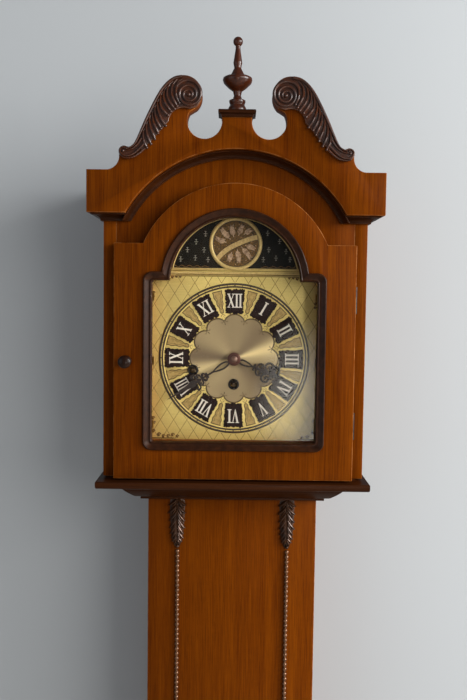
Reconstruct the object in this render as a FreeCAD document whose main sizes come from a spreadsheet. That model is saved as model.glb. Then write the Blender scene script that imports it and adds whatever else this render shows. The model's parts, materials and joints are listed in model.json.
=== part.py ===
import FreeCAD, Part
import math
import os
import Sketcher
from FreeCAD import Placement, Rotation, Vector

# A slim longcase clock: plinth, trunk with a full-width door, and a hood whose arched,
# glazed door stands under a broken swan-neck pediment with a turned finial.
# Behind the arched dial is a spring-driven striking and chiming movement with a pendulum.
# The frame: X to the clock's right as one looks at it, Y to the back, Z up, and the
# origin on the floor in the middle of the clock's width and depth.

# Driving dimensions, in millimetres, degrees, or counts of teeth and pieces.
# Depths are measured back from the hood door's front face, which is plane 0.
SIZES = {
    # Heights of the case, from the floor up
    "skirting_height": 80,
    "plinth_height": 345,
    "plinth_top_thick": 12,
    "plinth_moulding_height": 28,
    "trunk_length": 829,
    "bed_height": 28,
    "hood_base_thick": 14,
    "cornice_drop": 45,
    "cornice_height": 61,
    "neck_height": 76,
    "cap_thick": 10,
    "finial_height": 106,
    # Widths and thicknesses of the case
    "case_width": 390,
    "hood_side_thick": 19,
    "trunk_width": 262,
    "trunk_side_thick": 16,
    "plinth_panel_thick": 16,
    "plinth_floor_rise": 30,
    "skirting_thick": 12,
    "skirting_cove": 14,
    "cornice_overhang": 21,
    "hood_base_margin": 12,
    "base_moulding_reach": 20,
    "back_thick": 8,
    "roof_thick": 8,
    "door_clear": 0.6,
    "face_clear": 0.3,
    # Depths of the case
    "case_depth": 215,
    "hood_recess": 20,
    "trunk_recess": 60,
    "hood_base_recess": 12,
    "pediment_reach": 6,
    # Hood door and its glazed opening
    "door_margin": 18,
    "door_thick": 18.5,
    "shoulder_margin": 53,
    "crown_margin": 48.5,
    "door_arch_radius": 146.5,
    "sight_side_lap": 3.2,
    "sight_foot_lap": 3,
    "sight_shoulder_lap": 8,
    "sight_crown_lap": 15.5,
    "sight_arch_lap": 3.5,
    "bead_width": 12,
    "bead_reach": 4.5,
    "glass_thick": 3,
    "glass_set": 10,
    "glass_lap": 6,
    "glass_clear": 1,
    "clip_length": 12,
    "clip_reach": 9,
    "clip_thick": 1.5,
    "clip_spacing": 95,
    "mask_clear": 2,
    "mask_thick": 18,
    "mask_crown_margin": 45,
    "mask_crown_width": 300,
    "knob_radius": 7,
    "knob_reach": 17,
    "knob_neck_radius": 3.2,
    "knob_neck": 6,
    "trunk_knob_inset": 18,
    "door_knob_height": 175,
    # Door hinges
    "hinge_length": 40,
    "hinge_inset": 60,
    "knuckle_radius": 2,
    "knuckle_clear": 0.2,
    "hinge_pin_radius": 1,
    "hinge_offset": 2.2,
    "running_clear": 0.05,
    "leaf_thick": 1.2,
    "leaf_width": 14,
    "leaf_web": 0.7,
    # Trunk door and its hidden pivots
    "trunk_door_thick": 18,
    "pivot_inset": 6,
    "pivot_pin_radius": 2.5,
    "pivot_pin_reach": 8,
    "pivot_pin_hold": 12,
    "pivot_bush_wall": 1.5,
    "trunk_knob_drop": 400,
    "ornament_inset": 45.5,
    "leaf_drop_width": 28,
    "leaf_drop_length": 78,
    "leaf_drop_thick": 7,
    "leaf_drop_inset": 3,
    "leaf_end_radius": 4.5,
    "strip_width": 5,
    "strip_thick": 2.5,
    "strip_foot_gap": 45,
    # Pediment and its carving
    "pediment_arch_radius": 185,
    "pediment_arch_rise": 92.5,
    "scroll_rise": 133,
    "scroll_radius": 26,
    "scroll_offset": 76.5,
    "notch_radius": 25,
    "notch_offset": 46.5,
    "notch_rise": 70,
    "carving_thick": 8,
    "cap_width": 54,
    "cap_depth": 40,
    "cove_height": 10.5,
    "cove_reach": 17,
    "cove_lip": 2,
    "moulding_fillet": 4,
    "bed_reach": 38,
    "plinth_moulding_reach": 44,
    # Dial
    "dial_width": 250,
    "dial_height": 178,
    "dial_arch_radius": 100,
    "dial_thick": 1.5,
    "ring_radius": 114,
    "ring_width": 7.5,
    "ring_thick": 0.8,
    "plaque_radius": 86.3,
    "plaque_width": 27,
    "plaque_length": 35,
    "plaque_thick": 1,
    "centre_disc_radius": 65,
    "centre_disc_thick": 0.6,
    "roundel_radius": 39,
    "roundel_rim": 3,
    "roundel_thick": 2.4,
    "roundel_rise": 171,
    "collar_radius": 8,
    "collar_bore": 5.5,
    "collar_thick": 1.6,
    "dial_foot_radius": 3,
    "dial_foot_spread": 80,
    "dial_foot_top": 70,
    "dial_foot_bottom": 65,
    # Hands
    "minute_hand_length": 115,
    "hour_hand_length": 73,
    "hand_thick": 1,
    "hand_hub_radius": 7.5,
    "hand_stem_width": 3,
    "hand_rim": 2,
    "minute_loop_width": 13,
    "hour_loop_width": 20,
    "hour_hand_gap": 6,
    "minute_hand_gap": 11.5,
    "hand_nut_radius": 5,
    "hand_nut_thick": 3.5,
    "minute_hand_angle": 238,
    "hour_hand_angle": 112,
    # Movement frame
    "plate_gap": 44,
    "plate_thick": 2.5,
    "plate_half_width": 92,
    "plate_top": 82,
    "plate_bottom": 78,
    "motion_gap": 14.5,
    "pillar_radius": 3.5,
    "pillar_spread": 84,
    "pillar_top": 74,
    "pillar_bottom": 70,
    "seat_thick": 16,
    "seat_front": 46,
    "seat_back": 106,
    "cheek_width": 16,
    "cheek_height": 30,
    # Wheels and their places, from the hand centre
    "low_arbor_drop": 39,
    "side_arbor_drop": 18,
    "side_arbor_spread": 62,
    "barrel_teeth": 80,
    "centre_pinion_teeth": 10,
    "centre_wheel_teeth": 80,
    "third_pinion_teeth": 8,
    "third_wheel_teeth": 60,
    "escape_pinion_teeth": 8,
    "escape_wheel_teeth": 30,
    "cannon_pinion_teeth": 15,
    "minute_wheel_teeth": 45,
    "minute_pinion_teeth": 12,
    "hour_wheel_teeth": 48,
    "train_module": 0.7,
    "motion_module": 0.6,
    "third_angle": 60,
    "minute_wheel_angle": 45,
    "anchor_rise": 22,
    "escape_wheel_radius": 15,
    "wheel_thick": 1.5,
    "pinion_length": 6,
    "pivot_radius": 1.2,
    "arbor_radius": 2,
    "cannon_radius": 2.6,
    "hour_pipe_radius": 4,
    "winding_radius": 4,
    "winding_pivot_radius": 3,
    "winding_square": 4.5,
    "winding_reach": 4,
    "drum_radius": 30,
    "side_drum_radius": 24,
    "side_barrel_radius": 27.5,
    "drum_length": 30,
    "drum_set": 5.5,
    "centre_wheel_set": 3.5,
    "third_wheel_set": 18.5,
    "escape_wheel_set": 29.5,
    "pallet_length": 3.5,
    "pallet_width": 3,
    "pallet_height": 4,
    "pallet_gap": 1.4,
    "anchor_arm": 2.4,
    # Pendulum
    "pendulum_length": 636,
    "pendulum_set": 10,
    "pendulum_rod_radius": 3.5,
    "pendulum_eye_radius": 4.5,
    "pendulum_eye_thick": 4,
    "pendulum_pin_radius": 1.5,
    "cock_width": 14,
    "cock_height": 9,
    "crutch_width": 5,
    "crutch_thick": 1.5,
    "crutch_length": 42,
    "crutch_prong": 2,
    "bob_radius": 48,
    "bob_thick": 22,
    "bob_edge": 4,
    "rating_nut_radius": 7,
    "rating_nut_height": 6,
    "rod_tail": 18,
    "rod_thread_radius": 2,
    # Chime rods and hammers
    "rod_block_width": 160,
    "rod_block_depth": 31,
    "rod_block_height": 22,
    "rod_block_rise": 10,
    "chime_rod_radius": 1.5,
    "chime_rod_length": 370,
    "chime_rod_step": 12,
    "chime_rod_inset": 19,
    "chime_rod_start": 35,
    "strike_count": 3,
    "chime_count": 4,
    "hammer_shaft_drop": 60,
    "hammer_rise": 36,
    "hammer_shaft_length": 172,
    "hammer_arm_radius": 1.2,
    "hammer_head_radius": 5,
    "hammer_head_length": 14,
    "hammer_gap": 2.5,
    "bracket_thick": 4,
    # One overrun for every cut
    "overrun": 2,
}

# Shares chosen by hand, each of the size that its name says.
# Swan neck: across, of half the cornice's width; up, of the scroll's rise.
neck_bend_shares = ((0.4907, 0.8346), (0.5407, 0.6887))
neck_foot_shares = ((0.6296, 0.3985), (0.6644, 0.2917), (0.7162, 0.2353))
curl_shares = ((0.7407, 0.2504), (0.7741, 0.2301), (0.7810, 0.1729))
shoulder_shares = ((0.7819, 0.1429), (0.8069, 0.0436), (0.8657, 0.0))
carving_edge_shares = ((0.7407, 0.1128), (0.6852, 0.1316), (0.5713, 0.2902), (0.4514, 0.5113),
                       (0.4074, 0.6316), (0.3148, 0.6429))
# Where arcs of the scroll's head and the notch beside it begin and end, in shares of a turn.
notch_end_share = 0.4167
head_start_share = -0.1222
head_middle_share = 0.1111
head_end_share = 0.3472
# Teeth: heights in shares of the module, widths in shares of the pitch.
tooth_tip_share = 0.62
tooth_root_share = 1.25
tooth_tip_width_share = 0.07
tooth_root_width_share = 0.21
escape_root_share = 0.78
# Hands: stations in shares of the hand's length.
minute_hand_shares = (0.26, 0.62)
hour_hand_shares = (0.25, 0.72)
hand_tip_share = 0.3
# Hood knob: how far from the bead to the door's edge, in shares of that distance.
hood_knob_share = 0.591
# Leaf drop: where it is widest, in shares of its length.
leaf_widest_share = 0.35
# Turned pieces: radius and height in shares of the piece's own radius and height.
finial_radius_share = 0.201
finial_shares = ((0.6, 0.0), (0.6, 0.05), (0.48, 0.09), (0.55, 0.125), (0.55, 0.15), (0.3, 0.175),
                 (0.24, 0.215), (0.3, 0.27), (0.62, 0.318), (0.93, 0.38), (1.0, 0.42), (0.97, 0.45),
                 (0.84, 0.465), (0.5, 0.48), (0.42, 0.51), (0.24, 0.58), (0.24, 0.59), (0.3, 0.655),
                 (0.26, 0.71), (0.17, 0.83), (0.16, 0.878))
cove_steps = 8
torus_steps = 10

doc = FreeCAD.newDocument("longcase_clock")
sheet = doc.addObject("Spreadsheet::Sheet", "sizes")
for row, (alias, number) in enumerate(SIZES.items(), 1):
    sheet.set(f"A{row}", alias)
    sheet.set(f"B{row}", str(number))
    sheet.setAlias(f"B{row}", alias)
doc.recompute()


class Size:
    """A number together with the sheet expression that gives it."""

    def __init__(self, value, text):
        self.value = value
        self.text = text

    def __float__(self):
        return self.value

    def __add__(self, other):
        return Size(self.value + float(other), f"({self.text} + {text_of(other)})")

    def __radd__(self, other):
        return Size(float(other) + self.value, f"({text_of(other)} + {self.text})")

    def __sub__(self, other):
        return Size(self.value - float(other), f"({self.text} - {text_of(other)})")

    def __rsub__(self, other):
        return Size(float(other) - self.value, f"({text_of(other)} - {self.text})")

    def __mul__(self, other):
        return Size(self.value * float(other), f"({self.text} * {text_of(other)})")

    __rmul__ = __mul__

    def __truediv__(self, other):
        return Size(self.value / float(other), f"({self.text} / {text_of(other)})")

    def __neg__(self):
        return Size(-self.value, f"(0 - {self.text})")


def text_of(item):
    return item.text if isinstance(item, Size) else repr(float(item))


def root(item):
    return Size(math.sqrt(item.value), f"sqrt({item.text})")


def cosine(item):
    return Size(math.cos(math.radians(item.value)), f"cos({item.text})")


def sine(item):
    return Size(math.sin(math.radians(item.value)), f"sin({item.text})")


class Sizes:
    """Reads the sheet's cells by their aliases."""

    def __getattr__(self, alias):
        return Size(float(sheet.get(alias)), "sizes." + alias)


s = Sizes()
NODES = {}


# Helpers: pieces bound to the sheet

def bind(item, prop, value):
    if isinstance(value, Size):
        item.setExpression(prop, value.text)


def place(item, x, y, z):
    bind(item, "Placement.Base.x", x)
    bind(item, "Placement.Base.y", y)
    bind(item, "Placement.Base.z", z)
    return item


def box(name, x, y, z):
    item = doc.addObject("Part::Box", name)
    bind(item, "Length", x[1] - x[0])
    bind(item, "Width", y[1] - y[0])
    bind(item, "Height", z[1] - z[0])
    return place(item, x[0], y[0], z[0])


def wide_box(name, width, y, z):
    return box(name, (-width / 2, width / 2), y, z)


def rod(name, radius, length, x, y, z, turn):
    item = doc.addObject("Part::Cylinder", name)
    item.Placement = Placement(Vector(), turn)
    bind(item, "Radius", radius)
    bind(item, "Height", length)
    return place(item, x, y, z)


TO_BACK = Rotation(Vector(1, 0, 0), -90)
TO_FRONT = Rotation(Vector(1, 0, 0), 90)
UPRIGHT = Rotation()


def deep_rod(name, radius, x, y, z):
    return rod(name, radius, y[1] - y[0], x, y[0], z, TO_BACK)


def upright_rod(name, radius, x, y, z):
    return rod(name, radius, z[1] - z[0], x, y, z[0], UPRIGHT)


def fuse(name, items):
    item = doc.addObject("Part::MultiFuse", name)
    item.Shapes = items
    item.Refine = True
    return item


def cut(name, base, tool):
    item = doc.addObject("Part::Cut", name)
    item.Base = base
    item.Tool = tool
    return item


def group(name, items):
    item = doc.addObject("Part::Compound", name)
    item.Links = items
    return item


def node(name, item):
    item.Label = name
    NODES[name] = item
    return item


def feature(name, shape, placement=Placement()):
    item = doc.addObject("Part::Feature", name)
    item.Shape = shape
    item.Placement = placement
    return item


def arched(name, half_width, bottom, shoulder, radius, crown, y):
    """A board with a round-arched top: a rectangle joined to a disc."""
    slab = box(name + "_slab", (-half_width, half_width), y, (bottom, shoulder))
    disc = deep_rod(name + "_disc", radius, 0, y, crown - radius)
    return fuse(name, [slab, disc])


def dome(radius, height):
    """The bulge of an edge that closes a turned piece as part of a ball centred on its axis."""
    square = radius * radius + height * height
    ball = square / (height * 2)
    return ball - root(ball * ball - square / 4)


# Helpers: sketches whose points are held by the sheet

def sketch_outline(body, role, points):
    """A closed outline. A point is (across, up), with the bulge of the edge that follows it."""
    sketch = body.newObject("Sketcher::SketchObject", body.Name + "_outline")
    plane = [item for item in body.Origin.OriginFeatures if item.Role == role][0]
    sketch.AttachmentSupport = [(plane, "")]
    sketch.MapMode = "FlatFace"
    corners = [Vector(float(point[0]), float(point[1]), 0) for point in points]
    ends = []
    for index, point in enumerate(points):
        start = corners[index]
        stop = corners[(index + 1) % len(points)]
        if len(point) == 3:
            along = stop - start
            across = Vector(along.y, -along.x, 0).normalize()
            middle = (start + stop) * 0.5 + across * float(point[2])
            geometry = sketch.addGeometry(Part.Arc(start, middle, stop), False)
        else:
            geometry = sketch.addGeometry(Part.LineSegment(start, stop), False)
        straight = sketch.getPoint(geometry, 1).isEqual(start, 1e-6)
        ends.append((geometry, 1, 2) if straight else (geometry, 2, 1))
    for index, point in enumerate(points):
        geometry, first, last = ends[index]
        after = ends[(index + 1) % len(points)]
        sketch.addConstraint(Sketcher.Constraint("Coincident", geometry, last, after[0], after[1]))
        hold(sketch, geometry, first, "DistanceX", point[0], -2)
        hold(sketch, geometry, first, "DistanceY", point[1], -1)
        if len(point) == 3:
            following = points[(index + 1) % len(points)]
            run = following[0] - point[0]
            rise = following[1] - point[1]
            bulge = point[2]
            radius = ((run * run + rise * rise) / 4 + bulge * bulge) / (bulge * 2)
            if radius.value < 0:
                radius = -radius
            limit = sketch.addConstraint(Sketcher.Constraint("Radius", geometry, radius.value))
            sketch.setExpression(f"Constraints[{limit}]", radius.text)
    return sketch


def hold(sketch, geometry, point, kind, value, axis):
    if not isinstance(value, Size):
        sketch.addConstraint(Sketcher.Constraint("PointOnObject", geometry, point, axis))
        return
    limit = sketch.addConstraint(Sketcher.Constraint(kind, -1, 1, geometry, point, value.value))
    sketch.setExpression(f"Constraints[{limit}]", value.text)


def turned(name, profile, x, y, z, turn=UPRIGHT):
    """A body turned about its own Z axis from a profile of (radius, height) points."""
    body = doc.addObject("PartDesign::Body", name)
    sketch = sketch_outline(body, "XZ_Plane", profile)
    doc.recompute()
    solid = body.newObject("PartDesign::Revolution", name + "_turning")
    solid.Profile = sketch
    solid.ReferenceAxis = (sketch, ["V_Axis"])
    solid.Angle = 360
    body.Tip = solid
    body.Placement = Placement(Vector(), turn)
    place(body, x, y, z)
    return body


def padded(name, outline, thick, x, y, z):
    """A flat body cut from plate, its outline facing the front and its back at y."""
    body = doc.addObject("PartDesign::Body", name)
    sketch = sketch_outline(body, "XZ_Plane", outline)
    doc.recompute()
    solid = body.newObject("PartDesign::Pad", name + "_pad")
    solid.Profile = sketch
    bind(solid, "Length", thick)
    body.Tip = solid
    place(body, x, y, z)
    return body


# Helpers: mouldings, mitred at the two front corners

def cove_curve(start, stop):
    """Points of a hollow quarter curve from start to stop, leaving start straight up."""
    across = float(stop[0]) - float(start[0])
    rise = float(stop[1]) - float(start[1])
    turns = [math.pi / 2 * step / cove_steps for step in range(cove_steps + 1)]
    return [(float(start[0]) + across * (1 - math.cos(turn)), float(start[1]) + rise * math.sin(turn))
            for turn in turns]


def torus_curve(reach, height):
    """Points of a half round, from the bottom to the top, that swells out to reach."""
    radius = float(height) / 2
    middle = float(reach) - radius
    turns = [math.pi * step / torus_steps - math.pi / 2 for step in range(torus_steps + 1)]
    return [(middle + radius * math.cos(turn), radius + radius * math.sin(turn)) for turn in turns]


def loft(first, last):
    wires = [Part.makePolygon(points + points[:1]) for points in (first, last)]
    return Part.makeLoft(wires, True, True)


def moulding(name, profile, half_width, front, base):
    """Front length and two side lengths of a moulding; profile points are (projection, height)."""
    half, face, floor, back = (float(item) for item in (half_width, front, base, BACK))
    left = [Vector(-half - reach, face - reach, floor + rise) for reach, rise in profile]
    right = [Vector(half + reach, face - reach, floor + rise) for reach, rise in profile]
    left_end = [Vector(point.x, back, point.z) for point in left]
    right_end = [Vector(point.x, back, point.z) for point in right]
    lengths = [loft(left, right), loft(right, right_end), loft(left_end, left)]
    return feature(name, Part.makeCompound(lengths))


def numbers(points):
    return [(float(across), float(up)) for across, up in points]


# Main places, worked out from the driving dimensions

# Glazed opening and hood door, which follow the dial. Heights here are above the hood's floor.
SIGHT_WIDTH = s.dial_width - s.sight_side_lap * 2
SIGHT_BOTTOM = s.dial_height - s.dial_width / 2 + s.sight_foot_lap
SIGHT_SHOULDER = s.dial_height + s.dial_width / 2 - s.sight_shoulder_lap
SIGHT_CROWN = s.dial_height + s.dial_width / 2 + s.dial_arch_radius - s.sight_crown_lap
SIGHT_RADIUS = s.dial_arch_radius - s.sight_arch_lap
DOOR_SHOULDER = SIGHT_SHOULDER + s.shoulder_margin
DOOR_CROWN = SIGHT_CROWN + s.crown_margin
MASK_CROWN = DOOR_CROWN + s.mask_crown_margin

# Levels above the floor, and planes from front to back
FRONT = (s.knob_reach - s.case_depth) / 2
BACK = FRONT + s.case_depth
BACK_FACE = BACK - s.back_thick
PLINTH_TOP = s.plinth_height + s.plinth_top_thick
TRUNK_FOOT = PLINTH_TOP + s.plinth_moulding_height
TRUNK_HEAD = TRUNK_FOOT + s.trunk_length
HOOD_FOOT = TRUNK_HEAD + s.bed_height
HOOD_FLOOR = HOOD_FOOT + s.hood_base_thick
CORNICE_FOOT = HOOD_FLOOR + DOOR_CROWN - s.cornice_drop
CORNICE_TOP = CORNICE_FOOT + s.cornice_height
CAP_FOOT = CORNICE_TOP + s.neck_height
CAP_TOP = CAP_FOOT + s.cap_thick
DIAL_CENTRE = HOOD_FLOOR + s.dial_height
HOOD_FACE = FRONT + s.hood_recess
TRUNK_FACE = FRONT + s.trunk_recess
PLINTH_FACE = TRUNK_FACE - s.plinth_moulding_reach
PLINTH_WIDTH = s.trunk_width + s.plinth_moulding_reach * 2
HOOD_BASE_WIDTH = s.case_width - s.hood_base_margin * 2
DOOR_WIDTH = s.case_width - s.door_margin * 2
CORNICE_WIDTH = s.case_width + s.cornice_overhang * 2
DIAL_FACE = HOOD_FACE + s.mask_thick
DIAL_BACK = DIAL_FACE + s.dial_thick
PLATE_FRONT = DIAL_BACK + s.motion_gap
TRAIN_FRONT = PLATE_FRONT + s.plate_thick
TRAIN_BACK = TRAIN_FRONT + s.plate_gap
PLATE_BACK = TRAIN_BACK + s.plate_thick
ARCH_CENTRE = CORNICE_FOOT + s.pediment_arch_rise - s.pediment_arch_radius
PIVOT = (s.trunk_width / 2 - s.pivot_inset, TRUNK_FACE + s.trunk_door_thick - s.pivot_inset)
PIVOT_REACH = s.door_clear + s.pivot_pin_reach - s.overrun
PIVOT_PINS = {"low": (TRUNK_FOOT - s.pivot_pin_hold, TRUNK_FOOT + PIVOT_REACH),
              "high": (TRUNK_HEAD - PIVOT_REACH, TRUNK_HEAD + s.pivot_pin_hold)}


# Plinth

def make_plinth():
    half = PLINTH_WIDTH / 2
    inner = half - s.plinth_panel_thick
    inside = (PLINTH_FACE + s.plinth_panel_thick, BACK_FACE)
    front = box("plinth_front", (-half, half), (PLINTH_FACE, inside[0]), (0, s.plinth_height))
    left = box("plinth_left", (-half, -inner), inside, (0, s.plinth_height))
    right = box("plinth_right", (inner, half), inside, (0, s.plinth_height))
    node("plinth_panels", group("plinth_panels", [front, left, right]))
    rise = s.plinth_floor_rise
    floor = box("plinth_floor", (-inner, inner), inside, (rise, rise + s.plinth_top_thick))
    top = box("plinth_top", (-half, half), (PLINTH_FACE, BACK_FACE), (s.plinth_height, PLINTH_TOP))
    node("plinth_boards", group("plinth_boards", [floor, top]))
    lip = s.skirting_thick / 4
    skirting = [(0, 0), (s.skirting_thick, 0), (s.skirting_thick, s.skirting_height - s.skirting_cove)]
    hollow = cove_curve((lip, s.skirting_height), (s.skirting_thick, s.skirting_height - s.skirting_cove))
    skirting = numbers(skirting) + hollow[::-1][1:] + numbers([(0, s.skirting_height)])
    node("skirting", moulding("skirting", skirting, half, PLINTH_FACE, 0))


def make_plinth_moulding():
    reach = s.plinth_moulding_reach
    fillet = s.moulding_fillet
    height = s.plinth_moulding_height
    bottom = numbers([(0, 0), (reach, 0), (reach, fillet)])
    hollow = cove_curve((fillet, height - fillet), (reach - fillet, fillet))
    top = numbers([(fillet, height), (0, height)])
    profile = bottom + hollow[::-1] + top
    half = s.trunk_width / 2
    node("plinth_moulding", moulding("plinth_moulding", profile, half, TRUNK_FACE, PLINTH_TOP))


# Trunk

def make_trunk():
    half = s.trunk_width / 2
    behind = TRUNK_FACE + s.trunk_door_thick + s.face_clear
    sides = (half - s.trunk_side_thick, half)
    left = box("trunk_left", (-sides[1], -sides[0]), (behind, BACK_FACE), (PLINTH_TOP, HOOD_FOOT))
    right = box("trunk_right", sides, (behind, BACK_FACE), (PLINTH_TOP, HOOD_FOOT))
    rails = []
    for name, up in (("low", (PLINTH_TOP, TRUNK_FOOT)), ("high", (TRUNK_HEAD, HOOD_FOOT))):
        rail = wide_box(f"trunk_{name}_rail", s.trunk_width, (TRUNK_FACE, behind), up)
        hole = upright_rod(f"pivot_hole_{name}", s.pivot_pin_radius + s.running_clear, PIVOT[0], PIVOT[1],
                           PIVOT_PINS[name])
        rails.append(cut(f"trunk_rail_{name}", rail, hole))
    node("trunk_carcase", group("trunk_carcase", [left, right] + rails))
    low_back = wide_box("back_plinth", PLINTH_WIDTH, (BACK_FACE, BACK), (0, PLINTH_TOP))
    mid_back = wide_box("back_trunk", s.trunk_width, (BACK_FACE, BACK), (PLINTH_TOP, HOOD_FLOOR))
    high_back = wide_box("back_hood", s.case_width, (BACK_FACE, BACK), (HOOD_FLOOR, CORNICE_TOP))
    node("back_board", fuse("back_board", [low_back, mid_back, high_back]))


def make_trunk_door():
    """The door covers the trunk's front. Its back right edge is rounded about its pivots."""
    half = s.trunk_width / 2
    ends = (TRUNK_FOOT + s.door_clear, TRUNK_HEAD - s.door_clear)
    back = TRUNK_FACE + s.trunk_door_thick
    panel = box("door_panel", (-half, PIVOT[0]), (TRUNK_FACE, back), ends)
    edge = box("door_edge", (PIVOT[0], half), (TRUNK_FACE, PIVOT[1]), ends)
    rounding = upright_rod("door_rounding", s.pivot_inset, PIVOT[0], PIVOT[1], ends)
    sockets = []
    bushes = []
    pins = []
    levels = {"low": (ends[0], ends[0] + s.pivot_pin_reach), "high": (ends[1] - s.pivot_pin_reach, ends[1])}
    for name, up in levels.items():
        outer = s.pivot_pin_radius + s.running_clear + s.pivot_bush_wall
        sockets.append(upright_rod("socket_" + name, outer + s.running_clear, PIVOT[0], PIVOT[1], up))
        bush = upright_rod("bush_blank_" + name, outer, PIVOT[0], PIVOT[1], up)
        bore = upright_rod("bush_bore_" + name, s.pivot_pin_radius + s.running_clear, PIVOT[0], PIVOT[1],
                           (up[0] - s.overrun, up[1] + s.overrun))
        bushes.append(cut("bush_" + name, bush, bore))
        pins.append(upright_rod("pivot_pin_" + name, s.pivot_pin_radius, PIVOT[0], PIVOT[1], PIVOT_PINS[name]))
    blank = fuse("door_solid", [panel, edge, rounding])
    node("trunk_door", cut("trunk_door", blank, fuse("door_sockets", sockets)))
    node("trunk_hinges_case", group("trunk_hinges_case", pins))
    node("trunk_hinges_door", group("trunk_hinges_door", bushes))


def make_bed_moulding():
    fillet = s.moulding_fillet
    bottom = numbers([(0, 0), (fillet, 0), (fillet, fillet)])
    hollow = cove_curve((fillet * 2, fillet), (s.bed_reach, s.bed_height - fillet))
    top = numbers([(s.bed_reach, s.bed_height), (0, s.bed_height)])
    profile = bottom + hollow + top
    node("bed_moulding", moulding("bed_moulding", profile, s.trunk_width / 2, TRUNK_FACE, TRUNK_HEAD))


def make_leaf_drops():
    """Two carved leaves on the trunk door, each as a pointed plaque with a round end."""
    top = TRUNK_HEAD - s.door_clear - s.leaf_drop_inset
    half = s.leaf_drop_width / 2
    waist = -s.leaf_drop_length * leaf_widest_share
    swell = s.leaf_drop_width / 12
    outline = [(-half, 0), (-half, waist, -swell), (0, -s.leaf_drop_length, -swell), (half, waist), (half, 0)]
    drops = []
    for side, name in ((-1, "left"), (1, "right")):
        x = (s.trunk_width / 2 - s.ornament_inset) * side
        leaf = padded("leaf_" + name, outline, s.leaf_drop_thick, x, TRUNK_FACE, top)
        ends = (TRUNK_FACE - s.leaf_drop_thick, TRUNK_FACE)
        end = deep_rod("leaf_end_" + name, s.leaf_end_radius, x, ends, top - s.leaf_drop_length)
        drops.append(fuse("leaf_drop_" + name, [leaf, end]))
    node("leaf_drops", group("leaf_drops", drops))


def make_bead_strips():
    top = TRUNK_HEAD - s.door_clear - s.leaf_drop_inset - s.leaf_drop_length - s.leaf_end_radius
    strips = []
    for side, name in ((-1, "left"), (1, "right")):
        x = (s.trunk_width / 2 - s.ornament_inset) * side
        across = (x - s.strip_width / 2, x + s.strip_width / 2)
        up = (TRUNK_FOOT + s.strip_foot_gap, top)
        strips.append(box("strip_" + name, across, (TRUNK_FACE - s.strip_thick, TRUNK_FACE), up))
    node("bead_strips", group("bead_strips", strips))


# Hood

def make_hood_carcase():
    half = s.case_width / 2
    inner = half - s.hood_side_thick
    up = (HOOD_FLOOR, CORNICE_TOP)
    left = box("hood_left", (-half, -inner), (HOOD_FACE, BACK_FACE), up)
    right = box("hood_right", (inner, half), (HOOD_FACE, BACK_FACE), up)
    node("hood_sides", group("hood_sides", [left, right]))
    base_front = FRONT + s.hood_base_recess
    board = wide_box("hood_floor", HOOD_BASE_WIDTH, (base_front, BACK_FACE), (HOOD_FOOT, HOOD_FLOOR))
    well = s.trunk_side_thick + s.overrun
    hole = box("hood_floor_hole", (well - s.trunk_width / 2, s.trunk_width / 2 - well),
               (TRUNK_FACE + s.trunk_door_thick + well, BACK_FACE - s.back_thick),
               (HOOD_FOOT - s.overrun, HOOD_FLOOR + s.overrun))
    node("hood_base_board", cut("hood_base_board", board, hole))
    torus = [(0, 0)] + torus_curve(s.base_moulding_reach, s.hood_base_thick) + numbers([(0, s.hood_base_thick)])
    ring = moulding("hood_base_moulding", torus, HOOD_BASE_WIDTH / 2, base_front, HOOD_FOOT)
    node("hood_base_moulding", ring)
    roof = box("hood_roof", (-inner, inner), (DIAL_FACE, BACK_FACE), (CORNICE_TOP - s.roof_thick, CORNICE_TOP))
    node("hood_roof", roof)


def sight_parts(name, spread, y):
    """The glazed opening's outline, made larger by spread on every side."""
    return arched(name, SIGHT_WIDTH / 2 + spread, HOOD_FLOOR + SIGHT_BOTTOM - spread,
                  HOOD_FLOOR + SIGHT_SHOULDER + spread, SIGHT_RADIUS + spread,
                  HOOD_FLOOR + SIGHT_CROWN + spread, y)


def make_hood_front():
    """The board behind the door, which frames the dial."""
    inner = s.case_width / 2 - s.hood_side_thick
    y = (HOOD_FACE, DIAL_FACE)
    low = box("mask_low", (-inner, inner), y, (HOOD_FLOOR, CORNICE_TOP - s.roof_thick))
    crown = wide_box("mask_crown", s.mask_crown_width, y, (CORNICE_FOOT, HOOD_FLOOR + MASK_CROWN))
    board = fuse("mask_board", [low, crown])
    hole = sight_parts("mask_hole", s.mask_clear, (y[0] - s.overrun, y[1] + s.overrun))
    node("hood_front", cut("hood_front", board, hole))


def make_hood_door():
    back = FRONT + s.door_thick
    shoulder = HOOD_FLOOR + DOOR_SHOULDER
    bottom = HOOD_FLOOR + s.door_clear
    blank = arched("door_blank", DOOR_WIDTH / 2, bottom, shoulder, s.door_arch_radius,
                   HOOD_FLOOR + DOOR_CROWN, (FRONT, back))
    hole = sight_parts("door_hole", 0, (FRONT - s.overrun, back + s.overrun))
    rebate = sight_parts("door_rebate", s.glass_lap, (FRONT + s.glass_set, back + s.overrun))
    recesses = []
    edge = DOOR_WIDTH / 2
    for name, low in hood_hinge_places():
        across = (edge - s.leaf_thick, edge + s.overrun)
        recesses.append(box("recess_" + name, across, (FRONT + s.leaf_thick * 2, back + s.overrun),
                            (low, low + s.hinge_length)))
    tool = fuse("door_cuts", [hole, rebate] + recesses)
    node("hood_door", cut("hood_door", blank, tool))
    outer = sight_parts("bead_outer", s.bead_width, (FRONT - s.bead_reach, FRONT))
    inner = sight_parts("bead_inner", 0, (FRONT - s.bead_reach - s.overrun, FRONT + s.overrun))
    node("door_bead", cut("door_bead", outer, inner))
    pane = (FRONT + s.glass_set, FRONT + s.glass_set + s.glass_thick)
    node("door_glass", sight_parts("door_glass", s.glass_lap - s.glass_clear, pane))
    make_glass_clips(pane[1])


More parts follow.
